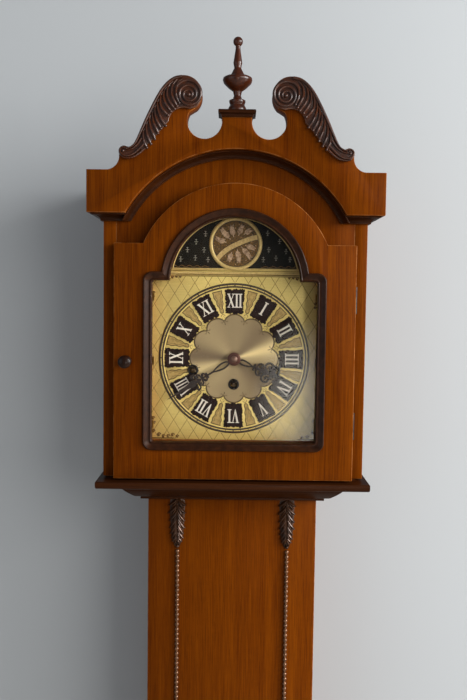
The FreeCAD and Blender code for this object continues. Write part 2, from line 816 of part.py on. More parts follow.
def make_glass_clips(glass_back):
    """Small brass clips that hold the pane in its rebate, three on each side."""
    wall = SIGHT_WIDTH / 2 + s.glass_lap
    middle = HOOD_FLOOR + (SIGHT_BOTTOM + SIGHT_SHOULDER) / 2
    clips = []
    for row in (-1, 0, 1):
        low = middle + s.clip_spacing * row - s.clip_length / 2
        up = (low, low + s.clip_length)
        y = (glass_back, glass_back + s.clip_thick)
        clips.append(box(f"clip_left_{row + 1}", (-wall, s.clip_reach - wall), y, up))
        clips.append(box(f"clip_right_{row + 1}", (wall - s.clip_reach, wall), y, up))
    node("glass_clips", group("glass_clips", clips))


def make_knob(name, x, face, z):
    neck = s.knob_neck_radius
    radius = s.knob_radius
    profile = [(0, 0), (neck * 2, 0), (neck * 2, s.leaf_thick), (neck, s.leaf_thick * 2),
               (neck, s.knob_neck), (radius, s.knob_neck + neck),
               (radius, s.knob_reach - neck, dome(radius, neck)), (0, s.knob_reach)]
    node(name, turned(name, profile, x, face, z, TO_FRONT))


def make_knobs():
    bead_edge = SIGHT_WIDTH / 2 + s.bead_width
    x = -(bead_edge + (DOOR_WIDTH / 2 - bead_edge) * hood_knob_share)
    make_knob("hood_door_knob", x, FRONT, HOOD_FLOOR + s.door_knob_height)
    x = s.trunk_knob_inset - s.trunk_width / 2
    make_knob("trunk_door_knob", x, TRUNK_FACE, TRUNK_HEAD - s.trunk_knob_drop)


# Hood door hinges: three knuckles each, the outer two and the pin on the case's leaf

def hood_hinge_places():
    low = HOOD_FLOOR + s.hinge_inset
    high = HOOD_FLOOR + DOOR_SHOULDER - s.hinge_inset - s.hinge_length
    return (("low", low), ("high", high))


def knuckle_levels(low):
    third = s.hinge_length / 3
    return (low, low + third), (low + third, low + third * 2), (low + third * 2, low + s.hinge_length)


def hinge_halves(name, x, y, low, case_leaf, case_webs, door_leaf, door_web):
    """One hinge. Leaves and webs are (x range, y range) pairs; the webs join leaves and knuckles."""
    bottom, middle, top = knuckle_levels(low)
    gap = s.running_clear
    pieces = [upright_rod(name + "_pin", s.hinge_pin_radius, x, y, (bottom[0], top[1])),
              upright_rod(name + "_foot", s.knuckle_radius, x, y, (bottom[0], bottom[1] - gap)),
              upright_rod(name + "_head", s.knuckle_radius, x, y, (top[0] + gap, top[1])),
              box(name + "_case_leaf", case_leaf[0], case_leaf[1], (bottom[0], top[1])),
              box(name + "_web_foot", case_webs[0], case_webs[1], (bottom[0], bottom[1] - gap)),
              box(name + "_web_head", case_webs[0], case_webs[1], (top[0] + gap, top[1]))]
    fixed = fuse(name + "_fixed", pieces)
    barrel = upright_rod(name + "_barrel", s.knuckle_radius, x, y, middle)
    leaf = box(name + "_door_leaf", door_leaf[0], door_leaf[1], (bottom[0], top[1]))
    web = box(name + "_door_web", door_web[0], door_web[1], middle)
    bore = upright_rod(name + "_bore", s.hinge_pin_radius + gap, x, y,
                       (middle[0] - s.overrun, middle[1] + s.overrun))
    return fixed, cut(name + "_moving", fuse(name + "_leaf", [barrel, leaf, web]), bore)


def make_hood_hinges():
    """Butt hinges: the case's leaf lies hidden behind the door, and the door's leaf in its edge."""
    edge = DOOR_WIDTH / 2
    x = edge + s.hinge_offset
    y = HOOD_FACE - s.knuckle_radius - s.knuckle_clear
    inner = x - s.knuckle_radius - s.face_clear
    depth = (HOOD_FACE - s.leaf_thick, HOOD_FACE)
    case_leaf = ((inner - s.leaf_width, inner), depth)
    case_webs = ((inner, x), depth)
    leaf = ((edge - s.leaf_thick, edge), (FRONT + s.leaf_thick * 2, FRONT + s.door_thick))
    web = ((edge - s.leaf_thick, x - s.hinge_pin_radius), (y - s.leaf_web, y + s.leaf_web))
    halves = [hinge_halves("hood_hinge_" + name, x, y, low, case_leaf, case_webs, leaf, web)
              for name, low in hood_hinge_places()]
    node("hood_hinges_case", group("hood_hinges_case", [half[0] for half in halves]))
    node("hood_hinges_door", group("hood_hinges_door", [half[1] for half in halves]))


# Pediment, cornice and finial

def on_circle(centre_x, centre_z, radius, turn_share):
    turn = turn_share * math.tau
    return Vector(centre_x + radius * math.cos(turn), 0, centre_z + radius * math.sin(turn))


def arc(first, middle, last):
    return Part.Arc(first, middle, last).toShape()


def line(first, last):
    return Part.LineSegment(first, last).toShape()


def swan_point(shares):
    half = float(CORNICE_WIDTH) / 2
    return Vector(-half * shares[0], 0, float(CORNICE_TOP) + float(s.scroll_rise) * shares[1])


def scroll_edges():
    """The left scroll's outer edge, from its head's underside over the top to the low curl."""
    head_x = -float(s.scroll_offset)
    head_z = float(CORNICE_TOP + s.scroll_rise - s.scroll_radius)
    head = [on_circle(head_x, head_z, float(s.scroll_radius), share)
            for share in (head_start_share, head_middle_share, head_end_share)]
    bend = [swan_point(shares) for shares in neck_bend_shares]
    foot = [swan_point(shares) for shares in neck_foot_shares]
    curl = [swan_point(shares) for shares in curl_shares]
    edges = [arc(*head), arc(head[2], bend[0], bend[1]), line(bend[1], foot[0]), arc(*foot),
             line(foot[2], curl[0]), arc(*curl)]
    return edges, head[0], curl[2]


def extruded(edges, front, back):
    wire = Part.Wire(Part.__sortEdges__(edges))
    face = Part.Face(wire)
    face.translate(Vector(0, float(front), 0))
    return face.extrude(Vector(0, float(back) - float(front), 0))


def mirrored(shape):
    return shape.mirror(Vector(), Vector(1, 0, 0))


def make_pediment():
    half = float(CORNICE_WIDTH) / 2
    top, foot = float(CORNICE_TOP), float(CORNICE_FOOT)
    neck = -float(s.notch_offset - s.notch_radius)
    notch_z = top + float(s.notch_rise)
    notch_x = -float(s.notch_offset)
    radius = float(s.notch_radius)
    neck_top = Vector(neck, 0, float(CAP_FOOT))
    notch_start = Vector(neck, 0, notch_z)
    notch_low = Vector(notch_x, 0, notch_z - radius)
    notch_end = on_circle(notch_x, notch_z, radius, notch_end_share)
    scroll, head_start, curl_end = scroll_edges()
    shoulder = [swan_point(shares) for shares in shoulder_shares]
    corner_top = Vector(-half, 0, top)
    corner_foot = Vector(-half, 0, foot)
    arch_radius = float(s.pediment_arch_radius)
    arch_z = float(ARCH_CENTRE)
    arch_foot = Vector(-math.sqrt(arch_radius ** 2 - (foot - arch_z) ** 2), 0, foot)
    left = [line(neck_top, notch_start), arc(notch_start, notch_low, notch_end), line(notch_end, head_start)]
    left += scroll + [line(curl_end, shoulder[0]), arc(*shoulder), line(shoulder[2], corner_top)]
    left += [line(corner_top, corner_foot), line(corner_foot, arch_foot)]
    right = [mirrored(edge) for edge in left]
    crown = arc(arch_foot, Vector(0, 0, arch_z + arch_radius), Vector(-arch_foot.x, 0, foot))
    top_edge = line(neck_top, Vector(-neck, 0, neck_top.z))
    edges = left + right + [crown, top_edge]
    node("pediment", feature("pediment", extruded(edges, FRONT - s.pediment_reach, HOOD_FACE)))


def make_scroll_carvings():
    """Carved leafwork that follows each swan neck, as one raised block on the board."""
    edges, head_start, curl_end = scroll_edges()
    inner = [swan_point(shares) for shares in carving_edge_shares]
    edges += [arc(curl_end, inner[0], inner[1]), line(inner[1], inner[2]), line(inner[2], inner[3]),
              arc(inner[3], inner[4], inner[5]), line(inner[5], head_start)]
    face = FRONT - s.pediment_reach
    left = extruded(edges, face - s.carving_thick, face)
    node("scroll_carvings", feature("scroll_carvings", Part.makeCompound([left, mirrored(left)])))


def make_cornice():
    half = s.case_width / 2
    outer = CORNICE_WIDTH / 2
    up = (CORNICE_FOOT, CORNICE_TOP)
    left = box("cornice_left", (-outer, -half), (HOOD_FACE, BACK), up)
    right = box("cornice_right", (half, outer), (HOOD_FACE, BACK), up)
    node("cornice_returns", group("cornice_returns", [left, right]))


def cove_profile():
    """The cornice's cove: (projection, height) from its thin foot to its full reach."""
    lip = s.cove_lip
    bottom = numbers([(0, 0), (lip * 2, 0)])
    hollow = cove_curve((lip * 2, lip), (s.cove_reach, s.cove_height - lip))
    top = numbers([(s.cove_reach, s.cove_height), (0, s.cove_height)])
    return bottom + hollow + top


def make_cornice_cove():
    """The cove under the pediment: an arched length round the door's arch, straight ones beside it."""
    profile = cove_profile()
    height = float(s.cove_height)
    radius = float(s.pediment_arch_radius)
    face = float(HOOD_FACE)
    centre = Vector(0, face, float(ARCH_CENTRE))
    section = [Vector(radius - height + rise, face - reach, centre.z) for reach, rise in profile]
    outline = Part.Face(Part.makePolygon(section + section[:1]))
    ring = outline.revolve(centre, Vector(0, -1, 0), 180)
    low = float(CORNICE_FOOT - s.cove_height)
    run = radius + float(s.overrun)
    keep = Part.makeBox(run * 2, run, run, Vector(-run, face - run, low))
    ring = ring.common(keep)
    straight = moulding("cove_lengths", profile, s.case_width / 2, HOOD_FACE, CORNICE_FOOT - s.cove_height)
    bore = Part.makeCylinder(radius, run, Vector(0, face - run / 2, centre.z), Vector(0, 1, 0))
    pieces = []
    for solid in straight.Shape.Solids:
        pieces += solid.cut(bore).Solids
    doc.removeObject(straight.Name)
    node("cornice_cove", feature("cornice_cove", Part.makeCompound(ring.Solids + pieces)))


def make_finial():
    across = s.cap_width / 2
    middle = (FRONT - s.pediment_reach + HOOD_FACE) / 2
    y = (middle - s.cap_depth / 2, middle + s.cap_depth / 2)
    node("finial_cap", box("finial_cap", (-across, across), y, (CAP_FOOT, CAP_TOP)))
    radius = s.finial_height * finial_radius_share
    points = [(radius * out, s.finial_height * up if up else 0) for out, up in finial_shares]
    neck = points.pop()
    ball = neck + (dome(neck[0], s.finial_height - neck[1]),)
    profile = [(0, 0)] + points + [ball, (0, s.finial_height)]
    node("finial", turned("finial", profile, 0, middle, CAP_TOP))


# Dial

def arbor_places():
    """Centres of the arbors, as (across, up) from the hand centre."""
    third = (s.centre_wheel_teeth + s.third_pinion_teeth) * s.train_module / 2
    escape = (s.third_wheel_teeth + s.escape_pinion_teeth) * s.train_module / 2
    third_x = third * cosine(s.third_angle)
    third_z = third * sine(s.third_angle)
    escape_z = third_z + root(escape * escape - third_x * third_x)
    stud = (s.cannon_pinion_teeth + s.minute_wheel_teeth) * s.motion_module / 2
    return {
        "centre": (0, 0),
        "going": (0, -s.low_arbor_drop),
        "strike": (-s.side_arbor_spread, -s.side_arbor_drop),
        "chime": (s.side_arbor_spread, -s.side_arbor_drop),
        "third": (third_x, third_z),
        "escape": (0, escape_z),
        "anchor": (0, escape_z + s.anchor_rise),
        "stud": (stud * cosine(s.minute_wheel_angle), stud * sine(s.minute_wheel_angle)),
    }


PLACES = arbor_places()
WINDING = ("going", "strike", "chime")


def through_hole(name, place, radius, through):
    """A cutter along Y at one of the arbor places."""
    return deep_rod(name, radius, PLACES[place][0], through, DIAL_CENTRE + PLACES[place][1])


def make_dial_plate():
    half = s.dial_width / 2
    y = (DIAL_FACE, DIAL_BACK)
    blank = arched("dial_blank", half, DIAL_CENTRE - half, DIAL_CENTRE + half, s.dial_arch_radius,
                   DIAL_CENTRE + half + s.dial_arch_radius, y)
    through = (DIAL_FACE - s.overrun, DIAL_BACK + s.overrun)
    holes = [through_hole("dial_hole_" + name, name, s.collar_bore, through) for name in ("centre",) + WINDING]
    plate = cut("dial_sheet", blank, fuse("dial_holes", holes))
    feet = []
    for side in (-1, 1):
        for name, up in (("top", s.dial_foot_top), ("bottom", -s.dial_foot_bottom)):
            feet.append(deep_rod(f"dial_foot_{name}_{side + 1}", s.dial_foot_radius, s.dial_foot_spread * side,
                                 (DIAL_BACK, PLATE_FRONT), DIAL_CENTRE + up))
    node("dial_plate", group("dial_plate", [plate] + feet))


def ring_piece(name, outer, bore, x, y, z):
    """A flat ring that faces the front."""
    disc = deep_rod(name + "_disc", outer, x, y, z)
    hole = deep_rod(name + "_bore", bore, x, (y[0] - s.overrun, y[1] + s.overrun), z)
    return cut(name, disc, hole)


def make_dial_parts():
    y = (DIAL_FACE - s.ring_thick, DIAL_FACE)
    bore = s.ring_radius - s.ring_width
    node("chapter_ring", ring_piece("chapter_ring", s.ring_radius, bore, 0, y, DIAL_CENTRE))
    half = s.plaque_width / 2
    low = s.plaque_radius - s.plaque_length / 2
    high = s.plaque_radius + s.plaque_length / 2
    swell = s.plaque_width / 12
    plaques = []
    for hour in range(12):
        outline = [(-half, low, swell), (half, low), (half, high, swell), (-half, high)]
        plaque = padded(f"plaque_{hour}", outline, s.plaque_thick, 0, DIAL_FACE, DIAL_CENTRE)
        plaque.Placement.Rotation = Rotation(Vector(0, 1, 0), 360 / 12 * hour)
        plaques.append(plaque)
    y = (DIAL_FACE - s.centre_disc_thick, DIAL_FACE)
    through = (y[0] - s.overrun, y[1] + s.overrun)
    collar_room = s.collar_radius + s.face_clear
    notches = [through_hole("plaque_notch_" + name, name, collar_room, through) for name in ("strike", "chime")]
    blanks = group("plaque_blanks", plaques)
    node("numeral_plaques", cut("numeral_plaques", blanks, fuse("plaque_notches", notches)))
    disc = deep_rod("centre_blank", s.centre_disc_radius, 0, y, DIAL_CENTRE)
    holes = [through_hole("centre_hole_" + name, name, s.collar_bore, through) for name in ("centre", "going")]
    holes += [through_hole("centre_notch_" + name, name, collar_room, through) for name in ("strike", "chime")]
    node("dial_centre", cut("dial_centre", disc, fuse("centre_holes", holes)))
    collars = []
    for name in WINDING:
        back = y[0] if name == "going" else DIAL_FACE
        front = back - s.collar_thick
        collars.append(ring_piece("collar_" + name, s.collar_radius, s.collar_bore, PLACES[name][0],
                                  (front, back), DIAL_CENTRE + PLACES[name][1]))
    node("winding_collars", group("winding_collars", collars))


def make_roundel():
    """The round boss in the dial's arch: a disc with a raised rim."""
    rim = s.roundel_radius - s.roundel_rim
    field = s.roundel_thick / 2
    profile = [(0, 0), (s.roundel_radius, 0), (s.roundel_radius, s.roundel_thick),
               (rim, s.roundel_thick), (rim, field), (0, field)]
    node("dial_roundel", turned("dial_roundel", profile, 0, DIAL_FACE, DIAL_CENTRE + s.roundel_rise, TO_FRONT))


# Hands: each is made pointing up, then turned to the time that it shows

def lens(width, low, high):
    """A pointed oval from low to high."""
    bottom, top = Vector(0, 0, low), Vector(0, 0, high)
    middle = (low + high) / 2
    return [arc(bottom, Vector(width / 2, 0, middle), top), arc(top, Vector(-width / 2, 0, middle), bottom)]


def bar(low_width, low, high_width, high, thick):
    corners = [Vector(-low_width / 2, 0, low), Vector(low_width / 2, 0, low),
               Vector(high_width / 2, 0, high), Vector(-high_width / 2, 0, high)]
    return Part.Face(Part.makePolygon(corners + corners[:1])).extrude(Vector(0, thick, 0))


def make_hand(name, length, loop_width, loop_shares, bore, front, angle):
    thick, rim, stem, hub = (float(item) for item in (s.hand_thick, s.hand_rim, s.hand_stem_width, s.hand_hub_radius))
    length, loop_width = float(length), float(loop_width)
    low, high = (length * share for share in loop_shares)
    shape = Part.makeCylinder(hub, thick, Vector(), Vector(0, 1, 0))
    shape = shape.fuse(bar(stem, 0, stem, low + rim, thick))
    loop = extruded(lens(loop_width, low, high), 0, thick)
    hole = extruded(lens(loop_width - rim * 2, low + rim * 2, high - rim * 2), -thick, thick * 2)
    shape = shape.fuse(loop.cut(hole))
    shape = shape.fuse(bar(stem, high - rim, stem * hand_tip_share, length, thick))
    shape = shape.cut(Part.makeCylinder(float(bore), thick * 3, Vector(0, -thick, 0), Vector(0, 1, 0)))
    placement = Placement(Vector(0, float(front), float(DIAL_CENTRE)), Rotation(Vector(0, 1, 0), float(angle)))
    node(name, feature(name, shape.removeSplitter(), placement))


def make_hands():
    make_hand("hour_hand", s.hour_hand_length, s.hour_loop_width, hour_hand_shares, s.hour_pipe_radius,
              DIAL_FACE - s.hour_hand_gap, s.hour_hand_angle)
    make_hand("minute_hand", s.minute_hand_length, s.minute_loop_width, minute_hand_shares, s.cannon_radius,
              DIAL_FACE - s.minute_hand_gap, s.minute_hand_angle)
    radius = s.hand_nut_radius
    thick = s.hand_nut_thick
    profile = [(0, 0), (radius, 0), (radius, thick / 2, dome(radius, thick / 2)), (0, thick)]
    node("hand_nut", turned("hand_nut", profile, 0, DIAL_FACE - s.minute_hand_gap, DIAL_CENTRE, TO_FRONT))


# Movement: frame and seat

def make_plates():
    half = s.plate_half_width
    up = (DIAL_CENTRE - s.plate_bottom, DIAL_CENTRE + s.plate_top)
    pivot = s.pivot_radius + s.running_clear
    gap = s.running_clear
    front_holes = {"centre": s.cannon_radius + gap, "third": pivot, "escape": pivot, "anchor": pivot,
                   "going": s.winding_radius + gap, "strike": s.winding_radius + gap,
                   "chime": s.winding_radius + gap}
    back_holes = {"centre": pivot, "third": pivot, "escape": pivot, "anchor": pivot,
                  "going": s.winding_pivot_radius + gap, "strike": s.winding_pivot_radius + gap,
                  "chime": s.winding_pivot_radius + gap}
    plates = {}
    for name, front, holes in (("front_plate", PLATE_FRONT, front_holes), ("back_plate", TRAIN_BACK, back_holes)):
        sheet_metal = box(name + "_sheet", (-half, half), (front, front + s.plate_thick), up)
        through = (front - s.overrun, front + s.plate_thick + s.overrun)
        rods = [deep_rod(f"{name}_{hole}", radius, PLACES[hole][0], through, DIAL_CENTRE + PLACES[hole][1])
                for hole, radius in holes.items()]
        plates[name] = cut(name + "_drilled", sheet_metal, fuse(name + "_holes", rods))
    reach = (PLATE_FRONT - s.pinion_length * 2, PLATE_FRONT)
    stud = deep_rod("minute_stud", s.pivot_radius, PLACES["stud"][0], reach, DIAL_CENTRE + PLACES["stud"][1])
    node("front_plate", group("front_plate", [plates["front_plate"], stud]))
    pillars = []
    for side in (-1, 1):
        for name, z in (("top", s.pillar_top), ("bottom", -s.pillar_bottom)):
            pillars.append(deep_rod(f"pillar_{name}_{side + 1}", s.pillar_radius, s.pillar_spread * side,
                                    (TRAIN_FRONT, TRAIN_BACK), DIAL_CENTRE + z))
    node("back_plate", group("back_plate", [plates["back_plate"]] + pillars + make_cock() + make_brackets()))


def make_cock():
    """The bracket behind the back plate that carries the pendulum on a pin."""
    pivot_z = DIAL_CENTRE + PLACES["anchor"][1]
    half = s.cock_width / 2
    eye = s.pendulum_eye_radius + s.running_clear
    pin_start = PLATE_BACK + s.pendulum_set - s.pendulum_rod_radius - s.crutch_thick
    pin_end = PLATE_BACK + s.pendulum_set + s.pendulum_rod_radius
    low = pivot_z + eye
    arm = box("cock_arm", (-half, half), (PLATE_BACK, pin_end + s.crutch_thick), (low, low + s.cock_height))
    ear = box("cock_ear", (-half, half), (pin_end + s.face_clear, pin_end + s.crutch_thick),
              (pivot_z - s.pendulum_pin_radius * 2, low))
    pin = deep_rod("cock_pin", s.pendulum_pin_radius, 0, (pin_start, pin_end + s.crutch_thick), pivot_z)
    return [fuse("pendulum_cock", [arm, ear, pin])]


def make_brackets():
    """Two ears behind the back plate that carry the hammers' shaft."""
    z = DIAL_CENTRE - s.hammer_shaft_drop
    y = PLATE_BACK + s.bracket_thick
    ears = []
    for side, name in ((-1, "left"), (1, "right")):
        inner = s.hammer_shaft_length / 2 - s.bracket_thick
        across = (inner, inner + s.bracket_thick) if side > 0 else (-inner - s.bracket_thick, -inner)
        ear = box("bracket_" + name, across, (PLATE_BACK, y + s.bracket_thick), (z - s.bracket_thick, z + s.bracket_thick))
        hole = rod("bracket_hole_" + name, s.chime_rod_radius + s.running_clear, s.bracket_thick + s.overrun * 2,
                   across[0] - s.overrun, y, z, Rotation(Vector(0, 1, 0), 90))
        ears.append(cut("bracket_ear_" + name, ear, hole))
    return ears


def make_seat():
    inner = s.case_width / 2 - s.hood_side_thick
    top = DIAL_CENTRE - s.plate_bottom
    y = (FRONT + s.seat_front, FRONT + s.seat_back)
    board = box("seat_plank", (-inner, inner), y, (top - s.seat_thick, top))
    up = (top - s.seat_thick - s.cheek_height, top - s.seat_thick)
    left = box("cheek_left", (-inner, s.cheek_width - inner), y, up)
    right = box("cheek_right", (inner - s.cheek_width, inner), y, up)
    node("seat_board", group("seat_board", [board, left, right]))


# Movement: wheels. Shapes are built at the wheel's own centre and set in place.

def toothed(teeth, pitch_radius, front, thick, tooth_at):
    """A toothed disc with a tooth's middle at the angle tooth_at, in radians from +X towards +Z."""
    count = int(round(float(teeth)))
    module = 2 * pitch_radius / count
    tip = pitch_radius + module * tooth_tip_share
    foot = pitch_radius - module * tooth_root_share
    pitch = math.tau / count
    points = []
    for index in range(count):
        middle = tooth_at + pitch * index
        for radius, share in ((foot, -tooth_root_width_share), (tip, -tooth_tip_width_share),
                              (tip, tooth_tip_width_share), (foot, tooth_root_width_share)):
            turn = middle + pitch * share
            points.append(Vector(radius * math.cos(turn), front, radius * math.sin(turn)))
    return Part.Face(Part.makePolygon(points + points[:1])).extrude(Vector(0, thick, 0))


def axle(radius, front, back):
    return Part.makeCylinder(float(radius), float(back) - float(front), Vector(0, float(front), 0), Vector(0, 1, 0))


def wheel_node(name, place_name, pieces):
    """Joins coaxial pieces, which lie at their true depth, and sets them at their centre."""
    shape = pieces[0].multiFuse(pieces[1:]).removeSplitter()
    across, up = PLACES[place_name]
    node(name, feature(name, shape, Placement(Vector(float(across), 0, float(DIAL_CENTRE + up)), Rotation())))


def bearing(first, second):
    """The angle from the first arbor towards the second."""
    across = float(PLACES[second][0]) - float(PLACES[first][0])
    up = float(PLACES[second][1]) - float(PLACES[first][1])
    return math.atan2(up, across)


def gap_bearing(first, second, teeth):
    """The same, turned half a tooth so that a gap faces the second arbor."""
    return bearing(first, second) + math.pi / float(teeth)


def make_motion_work():
    module = float(s.motion_module)
    thick = float(s.wheel_thick)
    length = float(s.pinion_length)
    hour_front = float(DIAL_BACK) + thick * 2
    stud_front = hour_front - thick / 2
    wheel_front = float(PLATE_FRONT) - length + thick / 2
    hour_radius = float(s.hour_wheel_teeth) * module / 2
    hour_wheel = toothed(s.hour_wheel_teeth, hour_radius, hour_front, thick, bearing("centre", "stud"))
    pipe = axle(s.hour_pipe_radius, DIAL_FACE - s.hour_hand_gap, hour_front + thick)
    bore = axle(s.cannon_radius + s.running_clear, DIAL_FACE - s.minute_hand_gap, PLATE_FRONT)
    node("hour_wheel", feature("hour_wheel", hour_wheel.fuse(pipe).cut(bore).removeSplitter(),
                               Placement(Vector(0, 0, float(DIAL_CENTRE)), Rotation())))
    wheel = toothed(s.minute_wheel_teeth, float(s.minute_wheel_teeth) * module / 2, wheel_front, thick,
                    bearing("stud", "centre"))
    pinion = toothed(s.minute_pinion_teeth, float(s.minute_pinion_teeth) * module / 2, stud_front,
                     wheel_front + thick - stud_front, gap_bearing("stud", "centre", s.minute_pinion_teeth))
    hole = axle(s.pivot_radius + s.running_clear, stud_front - thick, PLATE_FRONT)
    across, up = PLACES["stud"]
    node("minute_wheel", feature("minute_wheel", wheel.fuse(pinion).cut(hole).removeSplitter(),
                                 Placement(Vector(float(across), 0, float(DIAL_CENTRE + up)), Rotation())))
    return wheel_front, module


def make_going_train():
    wheel_front, motion = make_motion_work()
    module = float(s.train_module)
    thick = float(s.wheel_thick)
    length = float(s.pinion_length)
    front = float(TRAIN_FRONT)
    clear = float(s.face_clear)
    great_front = front + float(s.drum_set + s.drum_length)
    distance = float(s.low_arbor_drop)
    total = float(s.barrel_teeth + s.centre_pinion_teeth)
    pieces = [
        axle(s.pivot_radius, TRAIN_BACK - s.overrun, PLATE_BACK),
        axle(s.arbor_radius, TRAIN_FRONT + s.face_clear, TRAIN_BACK - s.face_clear),
        axle(s.cannon_radius, DIAL_FACE - s.minute_hand_gap, TRAIN_FRONT + s.wheel_thick),
        toothed(s.centre_wheel_teeth, float(s.centre_wheel_teeth) * module / 2, front + float(s.centre_wheel_set),
                thick, bearing("centre", "third")),
        toothed(s.centre_pinion_teeth, distance * float(s.centre_pinion_teeth) / total, great_front - thick,
                length, gap_bearing("centre", "going", s.centre_pinion_teeth)),
        toothed(s.cannon_pinion_teeth, float(s.cannon_pinion_teeth) * motion / 2, wheel_front - thick / 2,
                thick * 2, gap_bearing("centre", "stud", s.cannon_pinion_teeth)),
    ]
    wheel_node("centre_arbor", "centre", pieces)
    pinion_front = front + float(s.centre_wheel_set) - thick
    third_front = front + float(s.third_wheel_set)
    pieces = [
        axle(s.pivot_radius, PLATE_FRONT, PLATE_BACK),
        axle(s.arbor_radius, front + clear, TRAIN_BACK - s.face_clear),
        toothed(s.third_pinion_teeth, float(s.third_pinion_teeth) * module / 2, pinion_front, length,
                gap_bearing("third", "centre", s.third_pinion_teeth)),
        toothed(s.third_wheel_teeth, float(s.third_wheel_teeth) * module / 2, third_front, thick,
                bearing("third", "escape")),
    ]
    wheel_node("third_wheel", "third", pieces)
    pieces = [
        axle(s.pivot_radius, PLATE_FRONT, PLATE_BACK),
        axle(s.arbor_radius, front + clear, TRAIN_BACK - s.face_clear),
        toothed(s.escape_pinion_teeth, float(s.escape_pinion_teeth) * module / 2, third_front - thick, length,
                gap_bearing("escape", "third", s.escape_pinion_teeth)),
        escape_disc(front + float(s.escape_wheel_set)),
    ]
    wheel_node("escape_wheel", "escape", pieces)
    make_barrel("going_barrel", "going", s.drum_radius, distance * float(s.barrel_teeth) / total,
                bearing("going", "centre"))
    for name, place_name in (("strike_barrel", "strike"), ("chime_barrel", "chime")):
        make_barrel(name, place_name, s.side_drum_radius, float(s.side_barrel_radius), 0)


def escape_disc(front):
    """The escape wheel: pointed teeth raked one way."""
    count = int(round(float(s.escape_wheel_teeth)))
    tip = float(s.escape_wheel_radius)
    foot = tip * escape_root_share
    pitch = math.tau / count
    points = []
    for index in range(count):
        turn = pitch * index
        points.append(Vector(foot * math.cos(turn), front, foot * math.sin(turn)))
        points.append(Vector(tip * math.cos(turn), front, tip * math.sin(turn)))
    return Part.Face(Part.makePolygon(points + points[:1])).extrude(Vector(0, float(s.wheel_thick), 0))


def make_barrel(name, place_name, drum_radius, pitch_radius, tooth_at):
    """A spring barrel: a closed drum with its great wheel behind, turning on the winding arbor."""
    front = float(TRAIN_FRONT + s.drum_set)
    back = front + float(s.drum_length)
    drum = axle(drum_radius, front, back)
    wheel = toothed(s.barrel_teeth, pitch_radius, back, float(s.wheel_thick) * 2, tooth_at)
    bore = axle(s.winding_radius + s.running_clear, front - float(s.overrun), TRAIN_BACK)
    shape = drum.fuse(wheel).cut(bore).removeSplitter()
    across, up = PLACES[place_name]
    node(name, feature(name, shape, Placement(Vector(float(across), 0, float(DIAL_CENTRE + up)), Rotation())))


def make_winding_arbors():
    for place_name in WINDING:
        side = float(s.winding_square)
        front = float(DIAL_FACE - s.winding_reach)
        square = Part.makeBox(side, float(PLATE_FRONT) - front, side, Vector(-side / 2, front, -side / 2))
        pieces = [square, axle(s.winding_radius, PLATE_FRONT - s.overrun, TRAIN_BACK - s.face_clear),
                  axle(s.winding_pivot_radius, TRAIN_BACK - s.overrun, PLATE_BACK)]
        wheel_node(place_name + "_winding_arbor", place_name, pieces)


def make_anchor():
    """The pallets between the plates, and the crutch behind them that meets the pendulum."""
    length = float(s.pallet_length)
    front = float(TRAIN_FRONT + s.escape_wheel_set) - length / 4
    tip = float(s.escape_wheel_radius + s.pallet_gap)
    wheel_z = float(PLACES["escape"][1] - PLACES["anchor"][1])
    width, height, arm = float(s.pallet_width), float(s.pallet_height), float(s.anchor_arm)
    pieces = [axle(s.pivot_radius, PLATE_FRONT, PLATE_BACK + s.crutch_thick * 2),
              axle(s.arbor_radius, TRAIN_FRONT + s.face_clear, TRAIN_BACK - s.face_clear)]
    reach = tip
    pallet_z = wheel_z + tip / 2
    for side in (-1, 1):
        corner = reach * side if side > 0 else reach * side - width
        pieces.append(Part.makeBox(width, length, height, Vector(corner, front, pallet_z)))
        outer = reach * side + width * side
        high = pallet_z + height
        corners = [Vector(0, front, arm), Vector(0, front, -arm), Vector(reach * side, front, high - arm),
                   Vector(outer, front, high - arm), Vector(outer, front, high)]
        pieces.append(Part.Face(Part.makePolygon(corners + corners[:1])).extrude(Vector(0, length, 0)))
    crutch_front = float(PLATE_BACK + s.crutch_thick)
    crutch = float(s.crutch_width)
    drop = float(s.crutch_length)
    thick = float(s.crutch_thick)
    pieces.append(Part.makeBox(crutch, thick, drop, Vector(-crutch / 2, crutch_front, -drop)))
    pieces.append(axle(s.crutch_width / 2, crutch_front, crutch_front + thick))
    gap = float(s.pendulum_rod_radius + s.running_clear)
    prong = float(s.crutch_prong)
    reach_back = float(s.pendulum_set + s.pendulum_rod_radius) - thick
    fork = Part.makeBox((gap + prong) * 2, thick, prong * 2, Vector(-gap - prong, crutch_front, -drop))
    pieces.append(fork)
    for start in (-gap - prong, gap):
        pieces.append(Part.makeBox(prong, reach_back, prong * 2, Vector(start, crutch_front, -drop)))
    wheel_node("anchor", "anchor", pieces)


# Pendulum

